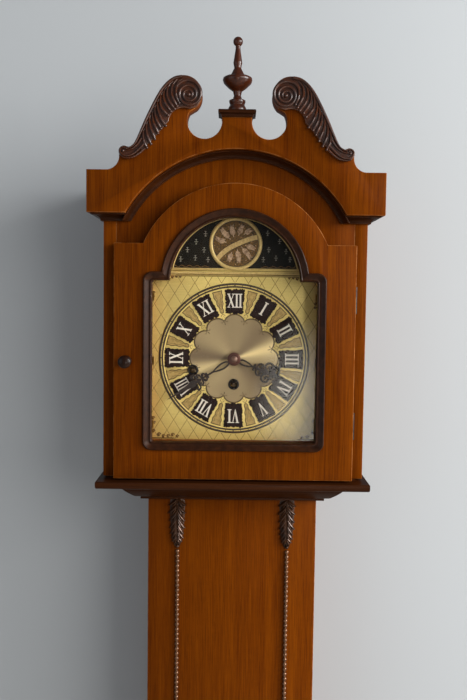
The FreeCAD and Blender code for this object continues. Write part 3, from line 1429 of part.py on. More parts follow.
def make_pendulum():
    y = PLATE_BACK + s.pendulum_set
    pivot = DIAL_CENTRE + PLACES["anchor"][1]
    bob_z = pivot - s.pendulum_length
    nut_top = bob_z - s.bob_radius - s.face_clear
    low = nut_top - s.rating_nut_height - s.rod_tail
    half = s.pendulum_rod_radius
    shaft = upright_rod("pendulum_shaft", half, 0, y, (bob_z + s.bob_radius, pivot))
    thread = upright_rod("pendulum_thread", s.rod_thread_radius, 0, y, (low, bob_z + s.bob_radius + s.overrun))
    eye_half = s.pendulum_eye_thick / 2
    eye = deep_rod("pendulum_eye", s.pendulum_eye_radius, 0, (y - eye_half, y + eye_half), pivot)
    hole = deep_rod("pendulum_hole", s.pendulum_pin_radius + s.running_clear, 0,
                    (y - half - s.overrun, y + half + s.overrun), pivot)
    node("pendulum_rod", cut("pendulum_rod", fuse("pendulum_stick", [shaft, thread, eye]), hole))
    edge = s.bob_edge / 2
    middle = s.bob_thick / 2
    swell = dome(s.bob_radius, middle - edge)
    profile = [(0, 0, swell), (s.bob_radius, middle - edge), (s.bob_radius, middle + edge, swell), (0, s.bob_thick)]
    lens_body = turned("bob_lens", profile, 0, y + middle, bob_z, TO_FRONT)
    slot = upright_rod("bob_slot", s.rod_thread_radius + s.running_clear, 0, y,
                       (bob_z - s.bob_radius - s.overrun, bob_z + s.bob_radius + s.overrun))
    node("pendulum_bob", cut("pendulum_bob", lens_body, slot))
    nut = upright_rod("nut_blank", s.rating_nut_radius, 0, y, (nut_top - s.rating_nut_height, nut_top))
    bore = upright_rod("nut_bore", s.rod_thread_radius + s.running_clear, 0, y,
                       (nut_top - s.rating_nut_height - s.overrun, nut_top + s.overrun))
    node("rating_nut", cut("rating_nut", nut, bore))


# Chime rods and hammers

def rod_places():
    strike = [-(s.chime_rod_start + s.chime_rod_step * index) for index in range(SIZES["strike_count"])]
    chime = [s.chime_rod_start + s.chime_rod_step * index for index in range(SIZES["chime_count"])]
    return strike + chime


def make_chime_rods():
    low = DIAL_CENTRE + s.rod_block_rise
    y = (BACK_FACE - s.rod_block_depth, BACK_FACE)
    pieces = [wide_box("rod_block", s.rod_block_width, y, (low, low + s.rod_block_height))]
    for index, x in enumerate(rod_places()):
        shorten = s.chime_rod_step * index
        pieces.append(upright_rod(f"chime_rod_{index}", s.chime_rod_radius, x, BACK_FACE - s.chime_rod_inset,
                                  (low - s.chime_rod_length + shorten, low)))
    node("chime_rods", group("chime_rods", pieces))


def make_hammers():
    """Seven hammers on one shaft: each arm rises backwards to a head just in front of its rod."""
    shaft_y = float(PLATE_BACK + s.bracket_thick)
    head_back = float(BACK_FACE - s.chime_rod_inset - s.chime_rod_radius - s.hammer_gap)
    head_front = head_back - float(s.hammer_head_length)
    rise = float(s.hammer_rise)
    length = float(s.hammer_shaft_length)
    shape = Part.makeCylinder(float(s.chime_rod_radius), length, Vector(-length / 2, shaft_y, 0), Vector(1, 0, 0))
    pieces = []
    for x in rod_places():
        start = Vector(float(x), shaft_y, 0)
        stop = Vector(float(x), (head_front + head_back) / 2, rise)
        along = stop - start
        pieces.append(Part.makeCylinder(float(s.hammer_arm_radius), along.Length, start, along))
        pieces.append(Part.makeCylinder(float(s.hammer_head_radius), float(s.hammer_head_length),
                                        Vector(float(x), head_front, rise), Vector(0, 1, 0)))
    shape = shape.multiFuse(pieces).removeSplitter()
    placement = Placement(Vector(0, 0, float(DIAL_CENTRE - s.hammer_shaft_drop)), Rotation())
    node("hammers", feature("hammers", shape, placement))


def write_parts():
    doc.recompute()
    for item in doc.Objects:
        if "Invalid" in item.State or "Error" in item.State:
            raise RuntimeError(f"{item.Name} failed: {item.State}")
    for name, item in NODES.items():
        if item.Shape.isNull() or not item.Shape.isValid():
            raise RuntimeError(f"{name} has no valid shape")
        if not item.Shape.Solids:
            raise RuntimeError(f"{name} has no solid")
    os.makedirs("parts", exist_ok=True)
    for name, item in NODES.items():
        item.Shape.exportStep(f"parts/{name}.step")
    print(len(NODES), "nodes")


make_plinth()
make_plinth_moulding()
make_trunk()
make_trunk_door()
make_bed_moulding()
make_leaf_drops()
make_bead_strips()
make_hood_carcase()
make_hood_front()
make_hood_door()
make_knobs()
make_hood_hinges()
make_pediment()
make_scroll_carvings()
make_cornice()
make_cornice_cove()
make_finial()
make_dial_plate()
make_dial_parts()
make_roundel()
make_hands()
make_plates()
make_seat()
make_going_train()
make_winding_arbors()
make_anchor()
make_pendulum()
make_chime_rods()
make_hammers()
write_parts()
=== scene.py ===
import json
import math
import random
import bmesh
import bpy
from mathutils import Euler, Matrix, Vector


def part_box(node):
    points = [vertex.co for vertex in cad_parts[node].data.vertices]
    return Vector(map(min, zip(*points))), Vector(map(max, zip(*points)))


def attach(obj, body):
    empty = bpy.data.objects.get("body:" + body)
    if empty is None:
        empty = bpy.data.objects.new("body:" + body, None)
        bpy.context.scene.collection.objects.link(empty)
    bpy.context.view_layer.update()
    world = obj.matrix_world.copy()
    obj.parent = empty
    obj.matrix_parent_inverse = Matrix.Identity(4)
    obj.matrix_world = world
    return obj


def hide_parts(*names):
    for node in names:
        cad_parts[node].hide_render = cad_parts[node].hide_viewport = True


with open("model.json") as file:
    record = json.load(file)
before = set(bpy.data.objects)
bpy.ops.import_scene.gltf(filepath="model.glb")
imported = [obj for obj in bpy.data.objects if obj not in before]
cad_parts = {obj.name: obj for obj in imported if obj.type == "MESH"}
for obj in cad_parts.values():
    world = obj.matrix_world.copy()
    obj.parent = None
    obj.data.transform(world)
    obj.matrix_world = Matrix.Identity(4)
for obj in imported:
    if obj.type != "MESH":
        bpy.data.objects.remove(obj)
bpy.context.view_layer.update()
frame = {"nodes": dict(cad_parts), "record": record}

# Looks of a slim longcase clock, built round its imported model.
# Metres; X to the right, Y to the back, Z up. Dial pieces are laid out in millimetres from the hands' centre.
mm = 0.001
dialZ = 1.434
dialFace = -0.061
bodyOf = {node: body for body, nodes in frame["record"]["behaviour"]["bodies"].items() for node in nodes}


# Small helpers

def colour(text):
    # A colour as written in sRGB, such as "7a4a20", in Blender's linear values.
    parts = [int(text[i:i + 2], 16) / 255 for i in (0, 2, 4)]
    return tuple(p / 12.92 if p <= 0.04045 else ((p + 0.055) / 1.055) ** 2.4 for p in parts) + (1.0,)


def addNode(tree, kind, inputs=None, **settings):
    made = tree.nodes.new(kind)
    for key, value in settings.items():
        setattr(made, key, value)
    for key, value in (inputs or {}).items():
        if isinstance(value, bpy.types.NodeSocket):
            tree.links.new(value, made.inputs[key])
        else:
            made.inputs[key].default_value = value
    return made


def connect(tree, node, **sources):
    # Links each source to the input of its name, where "_" stands for a space.
    for key, source in sources.items():
        tree.links.new(source, node.inputs[key.replace("_", " ")])


def startGroup(name, kind, inputs, outputs):
    # A new group: the tree, the sockets it is given and the node that takes its results.
    tree = bpy.data.node_groups.new(name, kind)
    for label, socket, value in inputs:
        made = tree.interface.new_socket(label, in_out="INPUT", socket_type="NodeSocket" + socket)
        if value is not None:
            made.default_value = value
    for label, socket in outputs:
        tree.interface.new_socket(label, in_out="OUTPUT", socket_type="NodeSocket" + socket)
    return tree, tree.nodes.new("NodeGroupInput").outputs, tree.nodes.new("NodeGroupOutput")


def mathNode(tree, operation, *values):
    return addNode(tree, "ShaderNodeMath", dict(enumerate(values)), operation=operation).outputs[0]


def times(tree, first, second):
    return mathNode(tree, "MULTIPLY", first, second)


def vectorMath(tree, operation, *values):
    return addNode(tree, "ShaderNodeVectorMath", dict(enumerate(values)), operation=operation).outputs[0]


def lengthOf(tree, vector):
    return addNode(tree, "ShaderNodeVectorMath", {0: vector}, operation="LENGTH").outputs["Value"]


def combine(tree, x=0.0, y=0.0, z=0.0):
    return addNode(tree, "ShaderNodeCombineXYZ", {0: x, 1: y, 2: z}).outputs[0]


def mixColour(tree, factor, first, second):
    return addNode(tree, "ShaderNodeMix", {0: factor, 6: first, 7: second}, data_type="RGBA").outputs[2]


def spread(tree, value, low, high, first=0.0, last=1.0):
    inputs = {0: value, 1: low, 2: high, 3: first, 4: last}
    return addNode(tree, "ShaderNodeMapRange", inputs).outputs[0]


def noiseNode(tree, vector, scale, detail=2.0, rough=0.5, twist=0.0):
    inputs = {"Vector": vector, "Scale": scale, "Detail": detail, "Roughness": rough, "Distortion": twist}
    return addNode(tree, "ShaderNodeTexNoise", inputs).outputs[0]


# Shader groups

surface = [("Color", "Color"), ("Gloss", "Float"), ("Height", "Float")]


def makeGrainGroup():
    # Veneer grain along Z: fine streaks, slow bands, a faint cross ripple and pores.
    tree, start, end = startGroup("veneerGrain", "ShaderNodeTree", [
        ("Vector", "Vector", None), ("Pale", "Color", colour("a8692e")), ("Deep", "Color", colour("6b3510")),
        ("Streaks", "Float", 420.0), ("Bands", "Float", 26.0), ("Ripple", "Float", 0.2), ("Pores", "Float", 0.5),
    ], surface)
    pull = vectorMath(tree, "MULTIPLY", start["Vector"], (1, 1, 0.02))
    sway = noiseNode(tree, start["Vector"], 3.0, 1.0)
    swayed = vectorMath(tree, "ADD", pull, combine(tree, times(tree, sway, 0.012)))
    streak = noiseNode(tree, swayed, start["Streaks"], 3.0, 0.6)
    band = noiseNode(tree, swayed, start["Bands"], 2.0, 0.5)
    ripple = noiseNode(tree, vectorMath(tree, "MULTIPLY", start["Vector"], (0.35, 0.35, 1)), 160.0, 2.0, 0.6)
    pore = noiseNode(tree, swayed, times(tree, start["Streaks"], 3.1), 1.0)
    pored = spread(tree, pore, 0.60, 0.72)
    sumUp = mathNode(tree, "MULTIPLY_ADD", spread(tree, streak, 0.3, 0.7), 0.62,
                     times(tree, spread(tree, band, 0.3, 0.7), 0.38))
    figured = mathNode(tree, "MULTIPLY_ADD", mathNode(tree, "SUBTRACT", ripple, 0.5), start["Ripple"], sumUp)
    mixed = mixColour(tree, spread(tree, figured, 0.05, 0.95), start["Deep"], start["Pale"])
    darkened = mixColour(tree, times(tree, pored, start["Pores"]), mixed, colour("2a1206"))
    connect(tree, end, Color=darkened, Gloss=spread(tree, streak, 0.2, 0.8, 0.36, 0.28),
            Height=mathNode(tree, "SUBTRACT", times(tree, streak, 0.6), pored))
    return tree


def makeCloudGroup():
    # Slow cloudy change between two colours, with a fine speckle, for paint, patina and cast metal.
    tree, start, end = startGroup("patina", "ShaderNodeTree", [
        ("Vector", "Vector", None), ("Color", "Color", colour("808080")), ("Deep", "Color", colour("404040")),
        ("Scale", "Float", 40.0), ("Amount", "Float", 0.5), ("Dull", "Float", 0.45), ("Bright", "Float", 0.25),
    ], surface)
    cloud = noiseNode(tree, start["Vector"], start["Scale"], 4.0, 0.6, 0.4)
    speck = noiseNode(tree, start["Vector"], times(tree, start["Scale"], 18.0), 2.0, 0.6)
    mask = spread(tree, mathNode(tree, "MULTIPLY_ADD", speck, 0.25, times(tree, cloud, 0.75)), 0.38, 0.62)
    tint = mixColour(tree, times(tree, mask, start["Amount"]), start["Color"], start["Deep"])
    gloss = addNode(tree, "ShaderNodeMapRange", {0: mask, 3: start["Bright"], 4: start["Dull"]})
    connect(tree, end, Color=tint, Gloss=gloss.outputs[0], Height=mathNode(tree, "MULTIPLY_ADD", speck, 0.4, cloud))
    return tree


def makeBrushGroup():
    # Brushed metal: fine scratches along X.
    tree, start, end = startGroup("brushed", "ShaderNodeTree", [
        ("Vector", "Vector", None), ("Color", "Color", colour("c8a868")), ("Deep", "Color", colour("8a6a38")),
        ("Scale", "Float", 900.0), ("Amount", "Float", 0.5)], surface)
    pull = vectorMath(tree, "MULTIPLY", start["Vector"], (0.03, 1, 1))
    hair = noiseNode(tree, pull, start["Scale"], 3.0, 0.7)
    cloud = noiseNode(tree, start["Vector"], 22.0, 3.0, 0.6)
    mask = mathNode(tree, "MULTIPLY_ADD", spread(tree, hair, 0.3, 0.7), 0.6, times(tree, cloud, 0.4))
    tint = mixColour(tree, times(tree, mask, start["Amount"]), start["Color"], start["Deep"])
    connect(tree, end, Color=tint, Gloss=spread(tree, mask, 0.0, 1.0, 0.28, 0.42), Height=hair)
    return tree


def makeWearAndHighlightGroup():
    # Pale colour on the edges that the piece's "edge" attribute marks: partly rubbed wear, partly a painted edge
    # highlight.
    tree, start, end = startGroup("edgeWearAndHighlight", "ShaderNodeTree", [
        ("Vector", "Vector", None), ("Color", "Color", colour("808080")), ("Edge", "Float", 0.0),
        ("WornAndHighlight", "Color", colour("c09060")), ("Amount", "Float", 0.5)], surface[:1])
    patch = spread(tree, noiseNode(tree, start["Vector"], 70.0, 3.0, 0.6), 0.35, 0.65)
    amount = times(tree, times(tree, patch, start["Edge"]), start["Amount"])
    connect(tree, end, Color=mixColour(tree, amount, start["Color"], start["WornAndHighlight"]))
    return tree


groups = {"grain": makeGrainGroup(), "patina": makeCloudGroup(), "brushed": makeBrushGroup(), "wearAndHighlight": makeWearAndHighlightGroup()}


# Materials

def startMaterial(name):
    made = bpy.data.materials.new(name)
    made.use_nodes = True
    tree = made.node_tree
    tree.nodes.clear()
    shader = tree.nodes.new("ShaderNodeBsdfPrincipled")
    out = tree.nodes.new("ShaderNodeOutputMaterial")
    tree.links.new(shader.outputs[0], out.inputs[0])
    place = tree.nodes.new("ShaderNodeTexCoord").outputs["Object"]
    return made, tree, shader, place


def groupNode(tree, name, inputs):
    return addNode(tree, "ShaderNodeGroup", inputs, node_tree=groups[name])


def addBump(tree, shader, height, strength, depth):
    bump = addNode(tree, "ShaderNodeBump", {"Strength": strength, "Distance": depth, "Height": height})
    tree.links.new(bump.outputs[0], shader.inputs["Normal"])


def setShader(shader, **values):
    for key, value in values.items():
        shader.inputs[key.replace("_", " ")].default_value = value


def finish(tree, shader, tint, source, strength, depth, **values):
    # Gives the shader its colour, and the gloss and height of a surface group.
    connect(tree, shader, Base_Color=tint, Roughness=source.outputs["Gloss"])
    addBump(tree, shader, source.outputs["Height"], strength, depth)
    setShader(shader, **values)


# Edge colour that is partly rubbed wear and partly a painted highlight along the edges.
def rubbedAndHighlightTint(tree, place, tint, wornAndHighlight, amount):
    edge = addNode(tree, "ShaderNodeAttribute", attribute_name="edge").outputs["Fac"]
    return groupNode(tree, "wearAndHighlight", {"Vector": place, "Color": tint, "Edge": edge, "WornAndHighlight": colour(wornAndHighlight),
                                    "Amount": amount}).outputs[0]


def mixedOut(tree, share, first, second):
    # Sends a mix of two shaders to the material's output.
    mixed = addNode(tree, "ShaderNodeMixShader", {0: share, 1: first.outputs[0], 2: second.outputs[0]})
    out = [n for n in tree.nodes if n.type == "OUTPUT_MATERIAL"][0]
    tree.links.new(mixed.outputs[0], out.inputs[0])


def woodMaterial(name, pale, deep, streaks=640.0, bands=60.0, ripple=0.16, pores=0.4, lying=False, coat=0.02,
                 wornAndHighlight="9a5a24", rubbedAndHighlight=0.4, depth=0.0001, shine=0.06):
    made, tree, shader, place = startMaterial(name)
    turned = addNode(tree, "ShaderNodeMapping", {"Vector": place, "Rotation": (0, math.pi / 2 if lying else 0, 0)})
    grain = groupNode(tree, "grain", {"Vector": turned.outputs[0], "Pale": colour(pale), "Deep": colour(deep),
                                      "Streaks": streaks, "Bands": bands, "Ripple": ripple, "Pores": pores})
    # Bevelled edges turn pale: partly rubbed wear, partly a painted edge highlight.
    tint = rubbedAndHighlightTint(tree, place, grain.outputs["Color"], wornAndHighlight, rubbedAndHighlight)
    finish(tree, shader, tint, grain, 0.35, depth, Coat_Weight=coat, Coat_Roughness=0.2, Specular_IOR_Level=shine)
    return made


def castMaterial(name, pale, deep, scale=40.0, amount=0.6, metallic=0.0, dull=0.5, bright=0.3, bump=0.2, depth=0.0002,
                 wornAndHighlight=None, coat=0.0, shine=0.5):
    made, tree, shader, place = startMaterial(name)
    cloud = groupNode(tree, "patina", {"Vector": place, "Color": colour(pale), "Deep": colour(deep), "Scale": scale,
                                       "Amount": amount, "Dull": dull, "Bright": bright})
    tint = cloud.outputs["Color"]
    # Bevelled edges turn pale: partly rubbed wear, partly a painted edge highlight.
    if wornAndHighlight:
        tint = rubbedAndHighlightTint(tree, place, tint, wornAndHighlight, 0.8)
    finish(tree, shader, tint, cloud, bump, depth, Metallic=metallic, Coat_Weight=coat, Coat_Roughness=0.15,
           Specular_IOR_Level=shine)
    return made


def brushedMaterial(name, pale, deep, scale=900.0, amount=0.6, metallic=1.0):
    made, tree, shader, place = startMaterial(name)
    brush = groupNode(tree, "brushed", {"Vector": place, "Color": colour(pale), "Deep": colour(deep), "Scale": scale,
                                        "Amount": amount})
    finish(tree, shader, brush.outputs["Color"], brush, 0.15, 0.00005, Metallic=metallic)
    return made


def spunMaterial():
    # The dial's centre: spun in rings about the hands, with a painted highlight: its brightness runs in wedges out
    # from them, a bow-tie at a fixed angle standing in for the light's gleam on the rings.
    made, tree, shader, place = startMaterial("spunCentre")
    centred = vectorMath(tree, "SUBTRACT", place, (0, 0, dialZ))
    parts = addNode(tree, "ShaderNodeSeparateXYZ", {0: centred})
    angle = mathNode(tree, "ARCTAN2", parts.outputs[2], parts.outputs[0])
    cosine = lambda value: mathNode(tree, "COSINE", value)
    across = mathNode(tree, "ABSOLUTE", cosine(mathNode(tree, "SUBTRACT", angle, math.radians(17))))
    # Painted highlight: a narrow bright bow-tie at 17 degrees; beside it softer painted light and dark spokes.
    wedge = mathNode(tree, "POWER", across, 60.0)
    soft = mathNode(tree, "MULTIPLY_ADD", cosine(times(tree, angle, 5.0)), 0.08,
                    times(tree, cosine(times(tree, angle, 3.0)), 0.12))
    ring = noiseNode(tree, combine(tree, times(tree, lengthOf(tree, centred), 2600.0)), 1.0, 2.0)
    # The spun rings are the metal's own; the wedge and spokes added to them are painted highlight and shade.
    ringsAndPaintedHighlight = mathNode(tree, "ADD", mathNode(tree, "MULTIPLY_ADD", wedge, 0.75, soft),
                     times(tree, mathNode(tree, "SUBTRACT", ring, 0.5), 0.25))
    tint = mixColour(tree, spread(tree, ringsAndPaintedHighlight, -0.2, 0.9), colour("6a5640"), colour("dcc08a"))
    connect(tree, shader, Base_Color=tint, Roughness=spread(tree, ring, 0.2, 0.8, 0.36, 0.5))
    addBump(tree, shader, ring, 0.2, 0.00004)
    setShader(shader, Metallic=0.55)
    return made


def glassMaterial():
    made, tree, shader, place = startMaterial("windowGlass")
    haze = noiseNode(tree, place, 18.0, 3.0, 0.6)
    connect(tree, shader, Roughness=spread(tree, haze, 0.3, 0.7, 0.0, 0.03))
    setShader(shader, Base_Color=(0.97, 0.99, 0.98, 1), IOR=1.22, Transmission_Weight=1.0)
    path = tree.nodes.new("ShaderNodeLightPath")
    mixedOut(tree, path.outputs["Is Shadow Ray"], shader, tree.nodes.new("ShaderNodeBsdfTransparent"))
    return made


# The worn edge colours below are partly rubbed wear and partly a painted edge highlight.
looks = {
    "veneer": woodMaterial("veneer", "7d3d05", "562303", coat=0.0, wornAndHighlight="c08048", rubbedAndHighlight=0.5, shine=0.025),
    "veneerPlinth": woodMaterial("veneerPlinth", "7a3a05", "592403", bands=40.0, coat=0.0, rubbedAndHighlight=0.6, shine=0.025),
    "moulding": woodMaterial("moulding", "40200c", "240f05", lying=True, coat=0.02, wornAndHighlight="7a4424", shine=0.07),
    "turned": woodMaterial("turned", "562408", "280e05", streaks=300.0, coat=0.3, wornAndHighlight="8a5024", shine=0.3),
    "pine": woodMaterial("pine", "a07c50", "7c5a30", streaks=160.0, bands=12.0, pores=0.2, coat=0.0, rubbedAndHighlight=0.2),
    "carved": castMaterial("carved", "4e2610", "200c05", 70.0, 0.8, dull=0.4, bright=0.24, wornAndHighlight="6e4020", coat=0.3,
                           shine=0.5),
    "carvedDark": castMaterial("carvedDark", "4e2e18", "160803", 70.0, 0.8, metallic=0.35, dull=0.4, bright=0.26,
                               wornAndHighlight="8a6238", coat=0.06),
    "turnedBead": castMaterial("turnedBead", "80583c", "34200f", 120.0, 0.5, metallic=0.55, dull=0.32, bright=0.2,
                               coat=0.2),
    "darkKnob": woodMaterial("darkKnob", "2a1206", "120601", streaks=300.0, coat=0.1, wornAndHighlight="5e3014", shine=0.2),
    "bead": castMaterial("bead", "3c2010", "180a04", 90.0, 0.7, dull=0.4, bright=0.28, wornAndHighlight="6a442c", coat=0.04,
                         shine=0.12),
    "gold": brushedMaterial("dialGold", "d6ba6e", "ae924e", 700.0, 0.5, 0.35),
    "cream": castMaterial("creamGold", "c0a264", "927440", 300.0, 0.6, 0.3, 0.45, 0.35),
    "ribbon": castMaterial("ribbon", "b8985e", "7a5a30", 300.0, 0.7, 0.2, 0.5, 0.4),
    "trackGold": castMaterial("trackGold", "a8894e", "745a2a", 200.0, 0.6, 0.3, 0.45, 0.35),
    "gilt": castMaterial("gilt", "c8a052", "7c5a24", 150.0, 0.7, 0.8, 0.4, 0.24),
    "nut": castMaterial("nutMetal", "76584a", "40281c", 150.0, 0.7, 0.5, 0.42, 0.32),
    "brass": brushedMaterial("brass", "caa050", "7e5c28", 600.0, 0.6),
    "darkBrass": castMaterial("darkBrass", "4a3418", "241808", 120.0, 0.7, 0.7, 0.5, 0.35),
    "darkLine": castMaterial("darkLine", "38260e", "1c1206", 200.0, 0.6, 0.2),
    "goldLine": castMaterial("goldLine", "7e6220", "4e3a10", 200.0, 0.6, 0.3),
    "panelLine": castMaterial("panelLine", "523a10", "2c1e08", 200.0, 0.6, 0.2),
    "lacquer": castMaterial("blackLacquer", "160c0a", "28160f", 160.0, 0.7, dull=0.5, bright=0.35, shine=0.1),
    "archField": castMaterial("archField", "0c0904", "1a1206", 60.0, 0.8, dull=0.55, bright=0.4, shine=0.1),
    "ivory": castMaterial("ivory", "cabeb0", "a69888", 150.0, 0.5, dull=0.5, bright=0.4, shine=0.3),
    "bronze": castMaterial("handBronze", "2c1c14", "120a06", 160.0, 0.8, 0.3, 0.55, 0.35),
    "hubBronze": castMaterial("hubBronze", "50281a", "2a130b", 160.0, 0.8, 0.4, 0.5, 0.3),
    "steel": brushedMaterial("steel", "b8bcc0", "70767c", 800.0, 0.6),
    "iron": castMaterial("castIron", "3a3a3c", "1c1c1e", 80.0, 0.7, 0.6, 0.6, 0.4),
    "crossPale": castMaterial("crossPale", "8c8474", "4c463a", 200.0, 0.6),
    "scrapGold": castMaterial("scrapGold", "6a4608", "3c2604", 200.0, 0.7, 0.3),
    "roundelField": castMaterial("roundelField", "765012", "1e1204", 420.0, 1.0, 0.3, 0.5, 0.35),
    "roundelLeaf": castMaterial("roundelLeaf", "c4a284", "5e3e1e", 300.0, 0.9, 0.3, 0.45, 0.3),
    "grommet": castMaterial("grommet", "20140c", "0c0805", 120.0, 0.7, 0.5, 0.4, 0.2),
    "spun": spunMaterial(),
    "glass": glassMaterial(),
}
print("materials:", len(looks))


# Mesh helpers

def linked(name, data):
    # A new object in the scene.
    holder = bpy.data.objects.new(name, data)
    bpy.context.scene.collection.objects.link(holder)
    return holder


def newPiece(name, mesh, look, body, slot, replaces=()):
    piece = linked(name, mesh)
    if not mesh.materials:
        mesh.materials.append(looks[look])
    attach(piece, body)
    if replaces:
        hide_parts(*replaces)
    return piece


def smoothen(mesh, degrees=35):
    for polygon in mesh.polygons:
        polygon.use_smooth = True
    mesh.set_sharp_from_angle(angle=math.radians(degrees))


def mended(mesh, degrees):
    # Merges points that meet, turns the faces outward and smooths.
    work = bmesh.new()
    work.from_mesh(mesh)
    bmesh.ops.remove_doubles(work, verts=work.verts, dist=1e-6)
    bmesh.ops.recalc_face_normals(work, faces=work.faces)
    work.to_mesh(mesh)
    work.free()
    smoothen(mesh, degrees)
    return mesh


def meshOf(name, points, faces, degrees=40):
    mesh = bpy.data.meshes.new(name)
    mesh.from_pydata(points, [], faces)
    return mended(mesh, degrees)


def formed(name, store, degrees, *rest):
    # A piece from gathered points and faces.
    return newPiece(name, meshOf(name, *store, degrees), *rest)


def ringFaces(faces, first, rows, sides, closed=False):
    # Joins rows of points, each a ring; closed joins the last row to the first.
    for r in range(rows if closed else rows - 1):
        a, b = first + r * sides, first + (r + 1) % rows * sides
        faces += [(a + k, a + (k + 1) % sides, b + (k + 1) % sides, b + k) for k in range(sides)]


def dress(node, look, slot, bevel=0.0005, segments=2, squeeze=None, name=None):
    # A merged, softly edged copy of a CAD node, which it replaces.
    mesh = frame["nodes"][node].data.copy()
    mesh.materials.clear()
    work = bmesh.new()
    work.from_mesh(mesh)
    bmesh.ops.remove_doubles(work, verts=work.verts, dist=3e-6)
    bmesh.ops.dissolve_limit(work, angle_limit=math.radians(0.3), verts=work.verts, edges=work.edges,
                             delimit=set())
    if squeeze:
        for vert in work.verts:
            vert.co = squeeze(vert.co)
    layer = work.loops.layers.float.new("edge")
    sharp = [e for e in work.edges if len(e.link_faces) == 2 and e.calc_face_angle(0) > math.radians(32)
             and e.calc_length() > bevel * 0.5]
    if bevel and sharp:
        made = bmesh.ops.bevel(work, geom=sharp, offset=bevel, offset_type="OFFSET", segments=segments,
                               profile=0.5, affect="EDGES", clamp_overlap=False)
        for face in made["faces"]:
            for loop in face.loops:
                loop[layer] = 1.0
    work.to_mesh(mesh)
    work.free()
    smoothen(mesh, 40)
    return newPiece(name or node + "Dressed", mesh, look, bodyOf[node], slot, (node,))


def smoothPath(points, count):
    # Points evenly along a smooth curve through the given ones.
    path = [Vector(p) for p in points]
    path = [path[0] * 2 - path[1]] + path + [path[-1] * 2 - path[-2]]
    dense = []
    for i in range(1, len(path) - 2):
        for step in range(12):
            t = step / 12
            a, b, c, d = path[i - 1:i + 3]
            dense.append(0.5 * ((2 * b) + (c - a) * t + (2 * a - 5 * b + 4 * c - d) * t * t
                                + (3 * b - a - 3 * c + d) * t * t * t))
    dense.append(path[-2])
    runs = [0.0]
    for first, last in zip(dense, dense[1:]):
        runs.append(runs[-1] + (last - first).length)
    out = []
    at = 0
    for i in range(count):
        want = runs[-1] * i / (count - 1)
        while at < len(runs) - 2 and runs[at + 1] < want:
            at += 1
        span = runs[at + 1] - runs[at] or 1e-9
        out.append(dense[at].lerp(dense[at + 1], (want - runs[at]) / span))
    return out


def strand(store, path, face, widths, heights, sides=8, closed=False):
    # Adds a raised, rounded strand on plane y = face, along a path of (x, z) millimetres.
    # widths and heights are in millimetres, each a number or a function of 0..1 along it.
    points, faces = store
    count = len(path)
    first = len(points)
    for i, spot in enumerate(path):
        t = i / max(count - 1, 1)
        before = path[(i - 1) % count] if closed or i else path[0]
        after = path[(i + 1) % count] if closed or i < count - 1 else path[-1]
        along = (Vector(after) - Vector(before)).normalized()
        across = Vector((-along.y, along.x))
        half = (widths(t) if callable(widths) else widths) / 2
        high = heights(t) if callable(heights) else heights
        for k in range(sides):
            turn = math.tau * k / sides
            side = across * (half * math.cos(turn))
            points.append(((spot[0] + side.x) * mm, face - high * mm * math.sin(turn), (spot[1] + side.y) * mm))
    ringFaces(faces, first, count, sides, closed)
    if not closed:
        faces.append(tuple(first + k for k in reversed(range(sides))))
        faces.append(tuple(first + (count - 1) * sides + k for k in range(sides)))


def circle(radius, count=96, x=0.0, z=0.0):
    return [(x + radius * math.cos(math.tau * k / count), z + radius * math.sin(math.tau * k / count))
            for k in range(count)]


def knobAt(store, spot, face, radius, height, rings=5, sides=14):
    # Adds a low dome on plane y = face; spot in (x, z) millimetres.
    points, faces = store
    first = len(points)
    for r in range(rings + 1):
        turn = math.pi / 2 * r / rings
        out, up = radius * math.cos(turn), height * math.sin(turn)
        points += [(x * mm, face - up * mm, z * mm) for x, z in circle(out, sides, *spot)]
    ringFaces(faces, first, rings + 1, sides)
    faces.append(tuple(first + k for k in reversed(range(sides))))


def plate(name, loops, front, thick):
    # A flat plate facing the front, from closed (x, z) outlines in millimetres; inner ones are holes.
    curve = bpy.data.curves.new(name, "CURVE")
    curve.dimensions = "2D"
    curve.fill_mode = "BOTH"
    curve.extrude = thick * mm / 2
    for loop in loops:
        line = curve.splines.new("POLY")
        line.points.add(len(loop) - 1)
        for spot, (x, z) in zip(line.points, loop):
            spot.co = (x * mm, z * mm, 0, 1)
        line.use_cyclic_u = True
    holder = linked(name + "Curve", curve)
    bpy.context.view_layer.update()
    mesh = bpy.data.meshes.new_from_object(holder.evaluated_get(bpy.context.evaluated_depsgraph_get()))
    bpy.data.objects.remove(holder)
    bpy.data.curves.remove(curve)
    mesh.transform(Matrix.Translation((0, front + thick * mm / 2, 0)) @ Matrix.Rotation(math.pi / 2, 4, "X"))
    mesh.materials.clear()
    return mended(mesh, 30)


def archPath(radius, centre, foot, count):
    # An arch on the middle line, from the level foot at the right round to it at the left.
    low = math.asin((foot - centre) / radius)
    angles = (low + (math.pi - 2 * low) * k / count for k in range(count + 1))
    return [(radius * math.cos(a), centre + radius * math.sin(a)) for a in angles]


def onDial(points):
    # Lifts (x, z) millimetres from the hands' centre to the clock's own height.
    return [(x, z + dialZ / mm) for x, z in points]


def turnBy(points, degrees):
    # Turns (x, z) points clockwise, as hours go.
    a = math.radians(-degrees)
    return [(x * math.cos(a) - z * math.sin(a), x * math.sin(a) + z * math.cos(a)) for x, z in points]


def joined(name, meshes):
    # One mesh from several.
    work = bmesh.new()
    for mesh in meshes:
        work.from_mesh(mesh)
        bpy.data.meshes.remove(mesh)
    mesh = bpy.data.meshes.new(name)
    work.to_mesh(mesh)
    work.free()
    smoothen(mesh, 30)
    return mesh


# Geometry Nodes helpers

